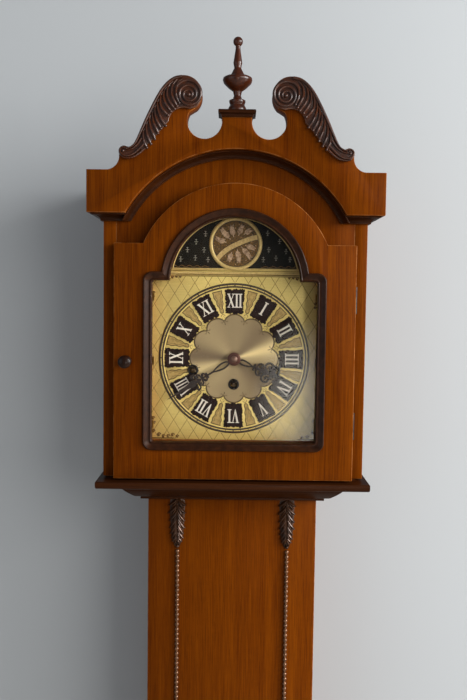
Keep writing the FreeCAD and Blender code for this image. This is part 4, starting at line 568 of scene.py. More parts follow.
def runNodes(name, tree, values):
    # Runs a Geometry Nodes tree on an empty mesh and returns the result as a plain mesh.
    holder = linked(name + "Nodes", bpy.data.meshes.new(name + "Start"))
    modifier = holder.modifiers.new("build", "NODES")
    modifier.node_group = tree
    for item in tree.interface.items_tree:
        if item.item_type == "SOCKET" and item.in_out == "INPUT" and item.name in values:
            modifier[item.identifier] = values[item.name]
    bpy.context.view_layer.update()
    mesh = bpy.data.meshes.new_from_object(holder.evaluated_get(bpy.context.evaluated_depsgraph_get()))
    holder.modifiers.remove(modifier)
    bpy.data.objects.remove(holder)
    mesh.name = name
    return mesh


def geometryGroup(name, inputs):
    return startGroup(name, "GeometryNodeTree", inputs, [("Geometry", "Geometry")])


def endTree(tree, end, geometry, material):
    real = addNode(tree, "GeometryNodeRealizeInstances", {0: geometry})
    painted = addNode(tree, "GeometryNodeSetMaterial", {"Geometry": real.outputs[0], "Material": material})
    tree.links.new(painted.outputs[0], end.inputs[0])


print("helpers ready")


# Case: softly edged copies of the CAD boards

caseEdges = {
    "hood_front": ("veneer", "veneer", 0.6), "hood_sides": ("veneer", "veneer", 0.6),
    "hood_door": ("veneer", "veneer", 0.9), "pediment": ("veneer", "veneer", 0.8),
    "cornice_returns": ("veneer", "veneer", 0.8), "trunk_carcase": ("veneer", "veneer", 0.6),
    "trunk_door": ("veneer", "veneer", 0.9), "plinth_panels": ("veneerPlinth", "veneer", 1.0),
    "plinth_boards": ("veneerPlinth", "pine", 0.4), "skirting": ("moulding", "moulding", 0.6),
    "plinth_moulding": ("moulding", "moulding", 0.4), "hood_base_board": ("moulding", "moulding", 0.4),
    "cornice_cove": ("moulding", "moulding", 0.4), "back_board": ("pine", "pine", 0.8),
    "hood_roof": ("pine", "pine", 0.5), "seat_board": ("pine", "pine", 0.8),
    "finial": ("turned", "moulding", 0.15),
}
for node, (look, slot, bevel) in caseEdges.items():
    dress(node, look, slot, bevel * mm)
print("case boards:", len(caseEdges))


# Mouldings that wrap three sides of the case: how far out and up each point of the section is
wraps = {
    "bed_moulding": {"half": 131.0, "front": -39.0, "name": "bedMoulding", "section": [
        (0, 0), (10.5, 0), (11, 0.6), (11, 3.6), (10.7, 4.2), (12, 4.6), (16.6, 5.0), (19.6, 6.2), (24, 9.6),
        (28, 12.8), (31.6, 16), (34.6, 19), (36.8, 22), (38, 24.4), (38, 28), (0, 28)]},
    "hood_base_moulding": {"half": 183.0, "front": -87.0, "name": "hoodBaseMoulding", "section": [
        (0, 0), (17.4, 0), (18.8, 0.6), (19.7, 2.0), (20, 3.8), (20, 9.4), (19.7, 10.2), (19.0, 10.7), (17.6, 10.9),
        (15.6, 10.9), (8, 11.6), (2, 12.8), (0, 13.6)]},
}


def makeWrap(node, wrap):
    low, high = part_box(node)
    points, faces = [], []
    for out, up in wrap["section"]:
        wide, front = (wrap["half"] + out) * mm, (wrap["front"] - out) * mm
        points += [(-wide, high.y, low.z + up * mm), (-wide, front, low.z + up * mm),
                   (wide, front, low.z + up * mm), (wide, high.y, low.z + up * mm)]
    rows = len(wrap["section"])
    for r in range(rows):
        s = (r + 1) % rows
        faces += [(r * 4 + k, r * 4 + k + 1, s * 4 + k + 1, s * 4 + k) for k in range(3)]
    faces += [tuple(r * 4 for r in range(rows)), tuple(r * 4 + 3 for r in reversed(range(rows)))]
    formed(wrap["name"], (points, faces), 28, "moulding", "case", "moulding", (node,))


for node, wrap in wraps.items():
    makeWrap(node, wrap)
print("wrapping mouldings:", len(wraps))


# Door knobs: turned with a rose against the door, a waist and a domed face
turnedKnob = {"steps": 40, "section": [
    (8.4, 0), (8.9, 0.5), (8.7, 1.3), (6.2, 2.1), (4.6, 3.2), (4.1, 4.8), (4.6, 6.6), (6.9, 8.4), (8.8, 10.2),
    (9.6, 12.2), (9.3, 13.8), (8.0, 15.2), (5.6, 16.2), (2.8, 16.8), (0, 17)]}


def makeKnob(node, name, body):
    low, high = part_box(node)
    steps, rows = turnedKnob["steps"], len(turnedKnob["section"]) - 1
    middle = ((low.x + high.x) / 2, (low.z + high.z) / 2)
    points, faces = [(middle[0], high.y, middle[1])], []
    for radius, reach in turnedKnob["section"][:-1]:
        points += [(x, high.y - reach * mm, z) for x, z in circle(radius * mm, steps, *middle)]
    points.append((middle[0], high.y - turnedKnob["section"][-1][1] * mm, middle[1]))
    ringFaces(faces, 1, rows, steps)
    last = 1 + (rows - 1) * steps
    for k in range(steps):
        n = (k + 1) % steps
        faces += [(0, 1 + n, 1 + k), (last + k, last + n, len(points) - 1)]
    formed(name, (points, faces), 50, "darkKnob", body, "moulding", (node,))


makeKnob("hood_door_knob", "hoodDoorKnob", "hood_door")
makeKnob("trunk_door_knob", "trunkDoorKnob", "trunk_door")
print("door knobs turned")


# Finial cap: a thin slab over a small cove that narrows to the pediment's neck
finialCap = {"slab": 5.2, "nose": 1.6, "neck": 21.0, "lip": 1.4, "fillet": 0.8, "throat": 2.6, "steps": 8}


def makeFinialCap():
    low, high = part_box("finial_cap")
    width, depth = (high.x - low.x) / 2, (high.y - low.y) / 2
    middle = (low.y + high.y) / 2
    slab, nose, neck, lip, fillet, throat = (
        finialCap[k] * mm for k in ("slab", "nose", "neck", "lip", "fillet", "throat"))
    foot, inset = high.z - slab, width - neck
    rows = [(inset, low.z), (inset - lip, low.z), (inset - lip, low.z + fillet)]
    for i in range(finialCap["steps"] + 1):
        t = math.pi / 2 * i / finialCap["steps"]
        rows.append((inset - lip - (inset - throat) * (1 - math.cos(t)),
                     low.z + fillet + (foot - low.z - 1.5 * fillet) * math.sin(t)))
    rows += [(1.2 * mm, foot), (0.3 * mm, foot + 0.3 * mm), (0, foot + nose * 0.5), (0, high.z - nose),
             (nose * 0.3, high.z - nose * 0.3), (nose, high.z)]
    points, faces = [], []
    for inward, z in rows:
        w, d = width - inward, depth - min(inward, depth * 0.45)
        points += [(-w, middle - d, z), (w, middle - d, z), (w, middle + d, z), (-w, middle + d, z)]
    ringFaces(faces, 0, len(rows), 4)
    faces += [(3, 2, 1, 0), tuple(len(rows) * 4 - 4 + k for k in range(4))]
    formed("finialCapMoulding", (points, faces), 30, "moulding", "case", "moulding", ("finial_cap",))


makeFinialCap()


# Carved scrolls: leaf ribs that run down each swan neck, and a volute round its eye.
# Paths are in millimetres from the floor and the clock's middle, for the left scroll.
scroll = {
    "face": -0.105, "body": 4.4, "rib": 4.0, "crest": 3.4,
    "ribs": [
        [(-79, 1835), (-84.5, 1830), (-87.4, 1819), (-86.4, 1809.5), (-82.6, 1801.5)],
        [(-86, 1835), (-91.8, 1827), (-94, 1817.2), (-91.8, 1808.6), (-85.8, 1797)],
        [(-92, 1832), (-98, 1825), (-100.3, 1814), (-97.1, 1804.1), (-89, 1793)],
        [(-98, 1827), (-103.6, 1819), (-104.9, 1809), (-101.5, 1799.7), (-94.6, 1789.5)],
        [(-103.5, 1820), (-108.6, 1812), (-109.5, 1799.5), (-105, 1790.9), (-98.4, 1784)],
        [(-108.6, 1811.5), (-113.2, 1803), (-113, 1792), (-108, 1779), (-101.8, 1769.5)],
        [(-113, 1803), (-117, 1795), (-116.8, 1784), (-112.4, 1773), (-108.4, 1765.4)],
        [(-117.2, 1795), (-120.6, 1787), (-119.6, 1776), (-115.6, 1766), (-112.4, 1759)],
        [(-121.4, 1787), (-124.8, 1779), (-123.4, 1767), (-119.6, 1757.4), (-117.2, 1750.6)],
        [(-125.8, 1778), (-129.2, 1770), (-128.4, 1758), (-125.2, 1749), (-122.6, 1743.6)],
        [(-130.4, 1768), (-133.6, 1760), (-133.4, 1750), (-130.8, 1743), (-128.4, 1738.4)],
    ],
    "spiral": {"eye": (-69.0, 1813.4), "from": 158, "turns": 2.55, "outer": 20.4, "inner": 4.4, "lift": 1.6,
               "steps": 110},
    "curl": [
        [(-132.6, 1744), (-139, 1737), (-147, 1730), (-156, 1726.6), (-163.6, 1728.4), (-167, 1734), (-164.6, 1738.6),
         (-160, 1737.6)],
        [(-135.6, 1752), (-141, 1744), (-148, 1737.6), (-155, 1734.6), (-160.4, 1733.6)],
        [(-131, 1738), (-138.6, 1731), (-147, 1725.6), (-156, 1723.6), (-163, 1724.6)],
    ],
    "rim": [(-158, 1736.4), (-149, 1740.4), (-143.4, 1747.4), (-136.5, 1762), (-130.5, 1775.5), (-122.4, 1792.6),
            (-113.6, 1809.6), (-106, 1821.6), (-98, 1830.4), (-89, 1836.4), (-79, 1838.6)],
    "eyes": [((-69.0, 1813.4), 3.0, 3.8), ((-162.2, 1733.6), 2.4, 3.2)],
}


def makeScrolls():
    face = scroll["face"]
    flat = scroll["body"] / 8.0
    dress("scroll_carvings", "carved", "moulding", 1.3 * mm, 3,
          lambda co: Vector((co.x, face + (co.y - face) * flat, co.z)), "scrollBody")
    top = face - scroll["body"] * mm
    store = ([], [])
    lobed = lambda t: scroll["rib"] * (0.62 + 0.62 * t - 0.9 * max(0, t - 0.86) / 0.14 * 0.45)
    crest = lambda t: scroll["crest"] * min(1.0, 0.25 + 2.4 * t) * (1 - 0.55 * max(0, t - 0.82) / 0.18)
    for path in scroll["ribs"]:
        strand(store, smoothPath(path, 22), top, lobed, crest, 10)
        knobAt(store, path[-1], top, 2.3, scroll["crest"] * 0.9, 4, 12)
    spiral = scroll["spiral"]
    coil = []
    for k in range(spiral["steps"]):
        t = k / (spiral["steps"] - 1)
        turn = math.radians(spiral["from"]) - math.tau * spiral["turns"] * t
        reach = spiral["outer"] + (spiral["inner"] - spiral["outer"]) * t ** 0.86
        lift = spiral["lift"] * (1 - t)
        coil.append((spiral["eye"][0] + reach * math.cos(turn), spiral["eye"][1] + lift + reach * math.sin(turn)))
    strand(store, coil, top, lambda t: 5.0 - 1.6 * t, lambda t: 3.2 - 0.6 * t, 10)
    for path in scroll["curl"]:
        strand(store, smoothPath(path, 30), top, lambda t: 4.2 - 1.6 * t, lambda t: 3.0 - 0.6 * t, 10)
    strand(store, smoothPath(scroll["rim"], 70), top - 0.6 * mm, lambda t: 2.4 + 2.0 * min(1, t * 3), 2.8, 12)
    for spot, radius, height in scroll["eyes"]:
        knobAt(store, spot, top, radius, height, 6, 18)
    points, faces = store
    count = len(points)
    points += [(-x, y, z) for x, y, z in points]
    faces += [tuple(reversed([k + count for k in f])) for f in faces]
    formed("scrollRibs", store, 50, "carved", "case", "moulding")


makeScrolls()
print("scrolls carved")


# Leaf drops: a crowned body, a midrib, and leaflets laid over one another like feathers
leafDrop = {
    "face": -0.039, "centre": 85.5, "top": 1213.2, "foot": 1137.0, "crown": 2.6, "step": 9.6,
    "leaflets": (10.0, 13.0, 16.0, 17.5, 17.0, 14.0, 10.0), "layers": ((0, 1.04, 4.0), (4.6, 0.76, 3.0)),
    "reach": [(0, 11.4), (0.1, 12.8), (0.35, 12.4), (0.62, 11.2), (0.84, 9.2), (1, 4.6)],   # share down, half width
}


def reachAt(share):
    table = leafDrop["reach"]
    for (a, x), (b, y) in zip(table, table[1:]):
        if share <= b:
            return x + (y - x) * (share - a) / (b - a)
    return table[-1][1]


def makeLeafDrops():
    face, foot, store = leafDrop["face"], leafDrop["foot"], ([], [])
    top, tall = leafDrop["top"], leafDrop["top"] - leafDrop["foot"]
    bowed = lambda t: leafDrop["crown"] * (0.55 + 0.45 * math.sin(math.pi * t))
    leafHigh = lambda t: 2.4 + 2.2 * math.sin(math.pi * min(1, t * 0.8 + 0.1))
    for middle in (-leafDrop["centre"], leafDrop["centre"]):
        body = [(middle, top - tall * k / 26) for k in range(27)]
        strand(store, body, face, lambda t: 1.84 * reachAt(t), bowed, 20)
        for k, length in enumerate(leafDrop["leaflets"]):
            drop = 1.5 + leafDrop["step"] * k
            for side in (-1, 1):
                for lag, out, wide in leafDrop["layers"]:
                    tip = min(drop + length + lag, tall - 1)
                    reach = side * (reachAt(tip / tall) * out + 0.5 * math.sin(k * 2.4 + side))
                    path = [(middle + side * 0.9, top - drop - lag * 0.4),
                            (middle + reach * 0.34, top - drop - (tip - drop) * 0.42),
                            (middle + reach * 0.78, top - drop - (tip - drop) * 0.8),
                            (middle + reach, top - tip + 0.4)]
                    leafWide = lambda t: wide * (0.4 + 1.1 * math.sin(math.pi * min(0.94, t * 0.86 + 0.12)))
                    strand(store, smoothPath(path, 12), face - 1.0 * mm, leafWide, leafHigh, 8)
        spine = [(middle - 0.5, top), (middle + 0.3, top - 24), (middle - 0.4, top - 48), (middle + 0.6, foot + 1)]
        strand(store, smoothPath(spine, 30), face - 2.0 * mm, lambda t: 2.2 - 0.7 * t, lambda t: 3.0 - 0.6 * t, 10)
        knobAt(store, (middle + 0.6, foot + 0.4), face, 3.3, 6.2, 6, 18)
    formed("leafDrops", store, 50, "carvedDark", "trunk_door", "moulding", ("leaf_drops",))


makeLeafDrops()
print("leaf drops carved")


# Bead strings down the trunk door: Geometry Nodes threads turned beads on a line
beadRun = {"Pitch": 0.00786, "Radius": 0.0034, "Squash": 1.02}
beadString = {"centre": 0.0855, "aside": 0.0006, "front": -0.0408, "lift": 0.0015, "trim": 0.001}


def makeBeadTree():
    tree, start, end = geometryGroup("beadRun", [
        ("Top", "Vector", (0, 0, 0)), ("Length", "Float", 0.7), ("Pitch", "Float", 0.008),
        ("Radius", "Float", 0.0025), ("Squash", "Float", 0.9), ("Finish", "Material", None)])
    count = mathNode(tree, "FLOOR", mathNode(tree, "DIVIDE", start["Length"], start["Pitch"]))
    row = addNode(tree, "GeometryNodeMeshLine", {
        "Count": count, "Start Location": start["Top"], "Offset": combine(tree, z=times(tree, start["Pitch"], -1.0))})
    ball = addNode(tree, "GeometryNodeMeshUVSphere", {"Segments": 14, "Rings": 9, "Radius": start["Radius"]})
    beads = addNode(tree, "GeometryNodeInstanceOnPoints", {
        "Points": row.outputs[0], "Instance": ball.outputs[0], "Scale": combine(tree, 1.0, 1.0, start["Squash"])})
    smooth = addNode(tree, "GeometryNodeSetShadeSmooth", {"Geometry": beads.outputs[0]})
    middle = vectorMath(tree, "ADD", start["Top"], combine(tree, z=times(tree, start["Length"], -0.5)))
    string = addNode(tree, "GeometryNodeMeshCylinder", {
        "Vertices": 10, "Radius": times(tree, start["Radius"], 0.5), "Depth": start["Length"]})
    hung = addNode(tree, "GeometryNodeTransform", {"Geometry": string.outputs[0], "Translation": middle})
    both = addNode(tree, "GeometryNodeJoinGeometry")
    for part in (smooth, hung):
        tree.links.new(part.outputs[0], both.inputs[0])
    endTree(tree, end, both.outputs[0], start["Finish"])
    return tree


def makeBeadStrings():
    low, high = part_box("bead_strips")
    tree = makeBeadTree()
    meshes = []
    for side in (-1, 1):
        top = (beadString["centre"] * side + beadString["aside"], beadString["front"], high.z + beadString["lift"])
        values = {"Top": top, "Length": high.z - low.z - beadString["trim"], "Finish": looks["carved"], **beadRun}
        meshes.append(runNodes("beads", tree, values))
    mesh = joined("beadStrings", meshes)
    mesh.materials.clear()
    newPiece("beadStrings", mesh, "turnedBead", "trunk_door", "moulding", ("bead_strips",))


makeBeadStrings()
print("bead strings threaded")


# Glazing bead: a rounded moulding swept round the door's opening
glazingBead = {
    "half": 121.8, "foot": 1312.0, "shoulder": 1551.0, "radius": 96.5, "archCentre": 1547.0, "corner": (4.2, 0.75),
    "profile": [(-0.35, -89.3), (-0.9, -90.2), (-0.9, -91.4), (-0.35, -92.2), (-0.35, -94.4), (-0.9, -95.2),
                (-0.9, -96.4), (-0.35, -97.4), (-0.3, -99.4), (0.3, -100.3), (1.0, -100.6), (1.8, -100.2),
                (2.4, -99.5), (3.6, -99.5), (4.8, -100.0), (6.4, -101.0), (8.2, -102.3), (9.6, -103.2),
                (10.6, -103.5), (11.4, -103.0), (12.0, -101.8), (12.0, -98.9)],
}


def sightLoop(out):
    # The opening's outline, out millimetres larger, with rounded corners
    g = glazingBead
    half, foot, top, r = g["half"] + out, g["foot"] - out, g["shoulder"] + out, g["radius"] + out
    soft = g["corner"][0] + max(out, 0) * g["corner"][1]
    bend = lambda x, z, quarter: [(x + soft * math.cos(a), z + soft * math.sin(a))
                                  for a in (math.pi / 2 * (quarter + k / 8) for k in range(9))]
    right, low, high = half - soft, foot + soft, top - soft
    return (bend(right, low, -1) + bend(right, high, 0) + archPath(r, g["archCentre"], top, 56)
            + bend(-right, high, 1) + bend(-right, low, 2))


def makeGlazingBead():
    points, faces = [], []
    for out, y in glazingBead["profile"]:
        points += [(x * mm, y * mm, z * mm) for x, z in sightLoop(out)]
    ringFaces(faces, 0, len(glazingBead["profile"]), len(sightLoop(0)), True)
    formed("glazingBead", (points, faces), 32, "bead", "hood_door", "moulding", ("door_bead",))


makeGlazingBead()
print("glazing bead swept")


# Dial: laid out in millimetres from the hands' centre
dial = {
    "half": 124.4, "foot": -124.4, "top": 123.4, "ring": 115.0, "cell": (10.08, 16.0), "rise": 1.6, "line": 0.75,
    "lineHigh": 0.16, "holes": ((0, -39), (-62, -18), (62, -18)),
}


def lathe(store, spot, profile, sides=48):
    # Turns (radius, height) millimetres about the axis through spot, standing out from the dial's front
    points, faces = store
    first = len(points)
    for radius, high in profile:
        points += [(x * mm, dialFace - high * mm, dialZ + z * mm) for x, z in circle(radius, sides, *spot)]
    ringFaces(faces, first, len(profile), sides)
    return store


def raised(store, path, high, width, height=0.3, sides=6, closed=False):
    strand(store, onDial(path), dialFace - high * mm, width, height, sides, closed)


def makeLattice():
    # Diagonal lines, cut off at the plate's edges and at the chapter ring
    store = ([], [])
    across, up = dial["cell"]
    for lean in (1, -1):
        for k in range(-31, 32, 2):
            cuts = {-dial["half"], dial["half"]}
            slope = lean * up / across
            level = dial["rise"] + up * k
            cuts |= {(z - level) / slope for z in (dial["foot"], dial["top"])}
            b, c = 2 * slope * level, level * level - dial["ring"] ** 2
            inside = b * b - 4 * (1 + slope * slope) * c
            if inside > 0:
                cuts |= {(-b + sign * math.sqrt(inside)) / (2 + 2 * slope * slope) for sign in (-1, 1)}
            cuts = sorted(cuts)
            for first, last in zip(cuts, cuts[1:]):
                x = (first + last) / 2
                z = level + slope * x
                if last - first > 1 and abs(x) < dial["half"] and dial["foot"] < z < dial["top"] \
                        and math.hypot(x, z) > dial["ring"]:
                    raised(store, [(first, level + slope * first), (last, level + slope * last)], 0, dial["line"],
                           dial["lineHigh"], 4)
    formed("dialLattice", store, 40, "goldLine", "case", "gilt")


dress("dial_plate", "gold", "gilt", 0.3 * mm)
makeLattice()


# Chapter ring: a gold track between two dark lines, with a tick for every minute
track = {
    "outer": 112.4, "inner": 108.3, "high": 0.55, "minute": (0.9, 0.5, 4.6), "five": (1.8, 0.62, 6.6),
    "middle": 110.4, "ring": [(113.8, 0), (113.8, 0.4), (113.4, 0.55), (106.4, 0.55), (106.0, 0.4), (106.0, 0)],
}


def makeTickTree():
    tree, start, end = geometryGroup("tickRing", [
        ("Count", "Int", 60), ("Reach", "Float", 0.11), ("Size", "Vector", (0.001, 0.001, 0.006)),
        ("Middle", "Vector", (0, 0, 0)), ("Finish", "Material", None)])
    index = tree.nodes.new("GeometryNodeInputIndex").outputs[0]
    turn = mathNode(tree, "DIVIDE", times(tree, index, math.tau), start["Count"])
    across, up = (times(tree, mathNode(tree, wave, turn), start["Reach"]) for wave in ("SINE", "COSINE"))
    spot = vectorMath(tree, "ADD", combine(tree, x=across, z=up), start["Middle"])
    row = addNode(tree, "GeometryNodePoints", {"Count": start["Count"], "Position": spot})
    bar = addNode(tree, "GeometryNodeMeshCube", {"Size": start["Size"]})
    ticks = addNode(tree, "GeometryNodeInstanceOnPoints", {
        "Points": row.outputs[0], "Instance": bar.outputs[0], "Rotation": combine(tree, y=turn)})
    endTree(tree, end, ticks.outputs[0], start["Finish"])
    return tree


def makeChapterRing():
    formed("chapterTrack", lathe(([], []), (0, 0), track["ring"], 180), 30, "gold", "case", "gilt", ("chapter_ring",))
    store = ([], [])
    for radius, width in ((track["outer"], 3.2), (track["inner"], 2.7)):
        raised(store, circle(radius, 180), track["high"], width, 0.3, 6, True)
    lines = meshOf("chapterLines", *store, 60)
    tree = makeTickTree()
    ticks = []
    for count, size in ((60, track["minute"]), (12, track["five"])):
        values = {"Count": count, "Reach": track["middle"] * mm, "Size": tuple(v * mm for v in size),
                  "Middle": (0, dialFace - track["high"] * mm, dialZ), "Finish": looks["darkLine"]}
        ticks.append(runNodes("ticks", tree, values))
    mesh = joined("chapterMarks", [lines] + ticks)
    mesh.materials.clear()
    newPiece("chapterMarks", mesh, "darkLine", "case", "black")


makeChapterRing()
print("lattice and chapter ring")


# Numeral plaques and Roman numerals, tops outward
plaque = {"inner": 67.6, "outer": 104.8, "foot": 12.9, "head": 14.9, "thick": 0.9, "seed": 5}
letters = {"height": 20.8, "foot": 77.2, "stem": 2.7, "hair": 1.15, "serif": 1.05,
           "advance": {"I": 6.1, "V": 11.8, "X": 12.4}, "widest": 22.6, "thick": 0.4}


def plaqueLoop(lucky):
    # A block with scalloped ends and frayed sides
    corners = [(-plaque["foot"], plaque["inner"]), (plaque["foot"], plaque["inner"]),
               (plaque["head"], plaque["outer"]), (-plaque["head"], plaque["outer"])]
    loop = []
    for i, (first, last) in enumerate(zip(corners, corners[1:] + corners[:1])):
        first, last = Vector(first), Vector(last)
        out = Vector((last.y - first.y, first.x - last.x)).normalized()
        count = 26 if i % 2 == 0 else 30
        for k in range(count):
            t = k / count
            dip = 1.9 * (1 - abs(math.sin(3 * math.pi * t)) ** 0.6) if i % 2 == 0 else 0.6 * math.sin(math.pi * t)
            dip += lucky.uniform(-1.0, 1.1) - 0.4
            if k == 0:
                dip = 0.9
            loop.append(tuple(first.lerp(last, t) - out * dip))
    return loop


def crossing(a, b, c, d):
    # Where the line through a and b meets the line through c and d
    (x1, y1), (x2, y2), (x3, y3), (x4, y4) = a, b, c, d
    low = (x1 - x2) * (y3 - y4) - (y1 - y2) * (x3 - x4)
    p, q = x1 * y2 - y1 * x2, x3 * y4 - y3 * x4
    return ((p * (x3 - x4) - (x1 - x2) * q) / low, (p * (y3 - y4) - (y1 - y2) * q) / low)


def letterLoop(kind):
    high, stem, hair, lip = letters["height"], letters["stem"] / 2, letters["hair"] / 2, letters["serif"]
    wide = letters["advance"][kind] / 2 + 0.02
    if kind == "I":
        side = [(wide, 0), (wide, lip), (stem + 0.5, lip + 0.2), (stem, lip + 1.1), (stem, high - lip - 1.1),
                (stem + 0.5, high - lip - 0.2), (wide, high - lip), (wide, high)]
        return side + [(-x, z) for x, z in reversed(side)]
    if kind == "V":
        left, right = -wide + 2.6, wide - 2.2
        foot = [(-0.3, 0), (0.6, 0)]
        inner = crossing((left + stem, high), (foot[1][0] + stem, 0), (right - hair, high),
                         (foot[0][0] - hair + 0.5, 0))
        return foot + [(right + hair, high - lip), (wide, high - lip), (wide, high), (right - 2.2, high),
                       (right - 2.2, high - lip), (right - hair, high - lip), inner, (left + stem, high - lip),
                       (left + 2.8, high - lip), (left + 2.8, high), (-wide, high), (-wide, high - lip),
                       (left - stem, high - lip)]
    reach = wide - 2.4
    thickRight, thickLeft = ((-reach + stem, high), (reach + stem, 0)), ((-reach - stem, high), (reach - stem, 0))
    thinRight, thinLeft = ((reach + hair, high), (-reach + hair, 0)), ((reach - hair, high), (-reach - hair, 0))
    top, right = crossing(*thickRight, *thinLeft), crossing(*thickRight, *thinRight)
    bottom, left = crossing(*thickLeft, *thinRight), crossing(*thickLeft, *thinLeft)
    ends = []
    for middle, half, level in ((reach, stem, 0), (reach, hair, high), (-reach, stem, high), (-reach, hair, 0)):
        way = 1 if level == 0 else -1
        z = level + way * lip
        ends.append([(middle - way * half, z), (middle - way * 2.4, z), (middle - way * 2.4, level),
                     (middle + way * 2.4, level), (middle + way * 2.4, z), (middle + way * half, z)])
    return ends[0] + [right] + ends[1] + [top] + ends[2] + [left] + ends[3] + [bottom]


def makeNumerals():
    lucky = random.Random(plaque["seed"])
    blocks, signs = [], []
    words = ["XII", "I", "II", "III", "IV", "V", "VI", "VII", "VIII", "IX", "X", "XI"]
    for hour, word in enumerate(words):
        blocks.append(plate("block", [onDial(turnBy(plaqueLoop(lucky), 30 * hour))], dialFace - plaque["thick"] * mm,
                            plaque["thick"]))
        total = sum(letters["advance"][c] for c in word)
        squeeze = min(1.0, letters["widest"] / total)
        at = -total / 2
        for k, c in enumerate(word):
            at += letters["advance"][c] / 2
            loop = [((x + at) * squeeze, z + letters["foot"]) for x, z in letterLoop(c)]
            thick = letters["thick"] + 0.02 * (k % 2)
            signs.append(plate("sign", [onDial(turnBy(loop, 30 * hour))],
                               dialFace - (plaque["thick"] + thick) * mm, thick + 0.1))
            at += letters["advance"][c] / 2
    newPiece("numeralPlaques", joined("numeralPlaques", blocks), "lacquer", "case", "black", ("numeral_plaques",))
    newPiece("romanNumerals", joined("romanNumerals", signs), "ivory", "case", "black")


makeNumerals()


# Wedge panels between the plaques, with wavy outlines, and a small leaf at each foot
panel = {"inner": 71.0, "outer": 104.0, "foot": 1.5, "head": 7.6}


def makePanels():
    plates, store = [], ([], [])
    for hour in range(12):
        angle = 30 * hour + 15
        edge = []
        corners = [(-panel["foot"], panel["inner"]), (panel["foot"], panel["inner"]),
                   (panel["head"], panel["outer"]), (-panel["head"], panel["outer"])]
        for first, last, count in zip(corners, corners[1:] + corners[:1], (3, 16, 6, 16)):
            for k in range(count):
                t = k / count
                sway = 0.7 * math.sin(t * math.tau * 3) if count == 16 else 0
                edge.append((first[0] + (last[0] - first[0]) * t + sway, first[1] + (last[1] - first[1]) * t))
        plates.append(plate("wedge", [onDial(turnBy(edge, angle))], dialFace - 0.28 * mm, 0.38))
        raised(store, turnBy(edge, angle), 0.24, 1.35, 0.26, 6, True)
        for side in (-1, 1):                  # two wavy veins inside the panel
            vein = [(side * (0.5 + 3.4 * k / 7 + 0.7 * math.sin(k * 2.3 + side)), 76 + 3.3 * k) for k in range(8)]
            raised(store, turnBy(smoothPath(vein, 22), angle), 0.1, 0.75, 0.3, 6)
        for side in (-1, 1):
            leaf = [(0, 69.6), (side * 1.3, 68.2), (side * 2.6, 67.2), (side * 2.9, 65.4)]
            raised(store, turnBy(smoothPath(leaf, 7), angle), 0.1, 0.9, 0.4, 6)
            curl = [(side * 1.0, 59.2), (side * 2.4, 57.2), (side * 4.4, 56.4), (side * 5.0, 58.0)]
            raised(store, turnBy(smoothPath(curl, 8), angle), 0.5, 1.0, 0.3, 6)
        for spot in ((0, 65.4), (-1.6, 63.6), (1.6, 63.6)):
            knobAt(store, onDial(turnBy([spot], angle))[0], dialFace, 0.62, 0.6, 2, 7)
    newPiece("hourPanels", joined("hourPanels", plates), "trackGold", "case", "gilt")
    formed("panelLines", store, 60, "panelLine", "case", "gilt")


def scallop(lobe=50.65, radius=16.35, steps=9):
    # Twelve lobes that meet in cusps halfway between the hours
    path = []
    reach = math.atan2(15.19, 56.7 - lobe)
    for hour in range(12):
        arc = [(radius * math.sin(a), lobe + radius * math.cos(a))
               for a in (-reach + 2 * reach * k / steps for k in range(steps))]
        path += turnBy(arc, 30 * hour)
    return path


def makeCentre():
    outline = scallop()
    loops = [outline, circle(4.0, 32), circle(8.0, 32, *dial["holes"][0])]
    disc = plate("spunCentre", [onDial(loop) for loop in loops], dialFace - 0.6 * mm, 0.62)
    newPiece("spunCentre", disc, "spun", "case", "gilt", ("dial_centre",))
    store = ([], [])
    raised(store, outline, 0.55, 2.3, 0.3, 6, True)
    for hour in range(12):                    # a small spike at each cusp
        raised(store, turnBy([(0, 52.6), (0, 54.4), (0, 57.4)], 30 * hour + 15), 0.5, 1.3, 0.35, 6)
    formed("centreRim", store, 60, "panelLine", "case", "gilt")


makePanels()
makeCentre()
print("numerals, panels and centre")


# Arch of the dial: a near-black field with small crosses, a gilt arch line and a band below
arch = {
    "radius": 101.5, "centre": 113.4, "foot": 136.0, "line": (95.6, 116.0),
    "crosses": [(-82, 149), (-60, 151), (-41, 148.5), (-72, 163), (-47, 163), (-59, 175), (-45, 187), (42, 149.5),
                (61, 152), (82, 150), (50, 164.5), (76, 162), (66, 177), (48, 189)],
}


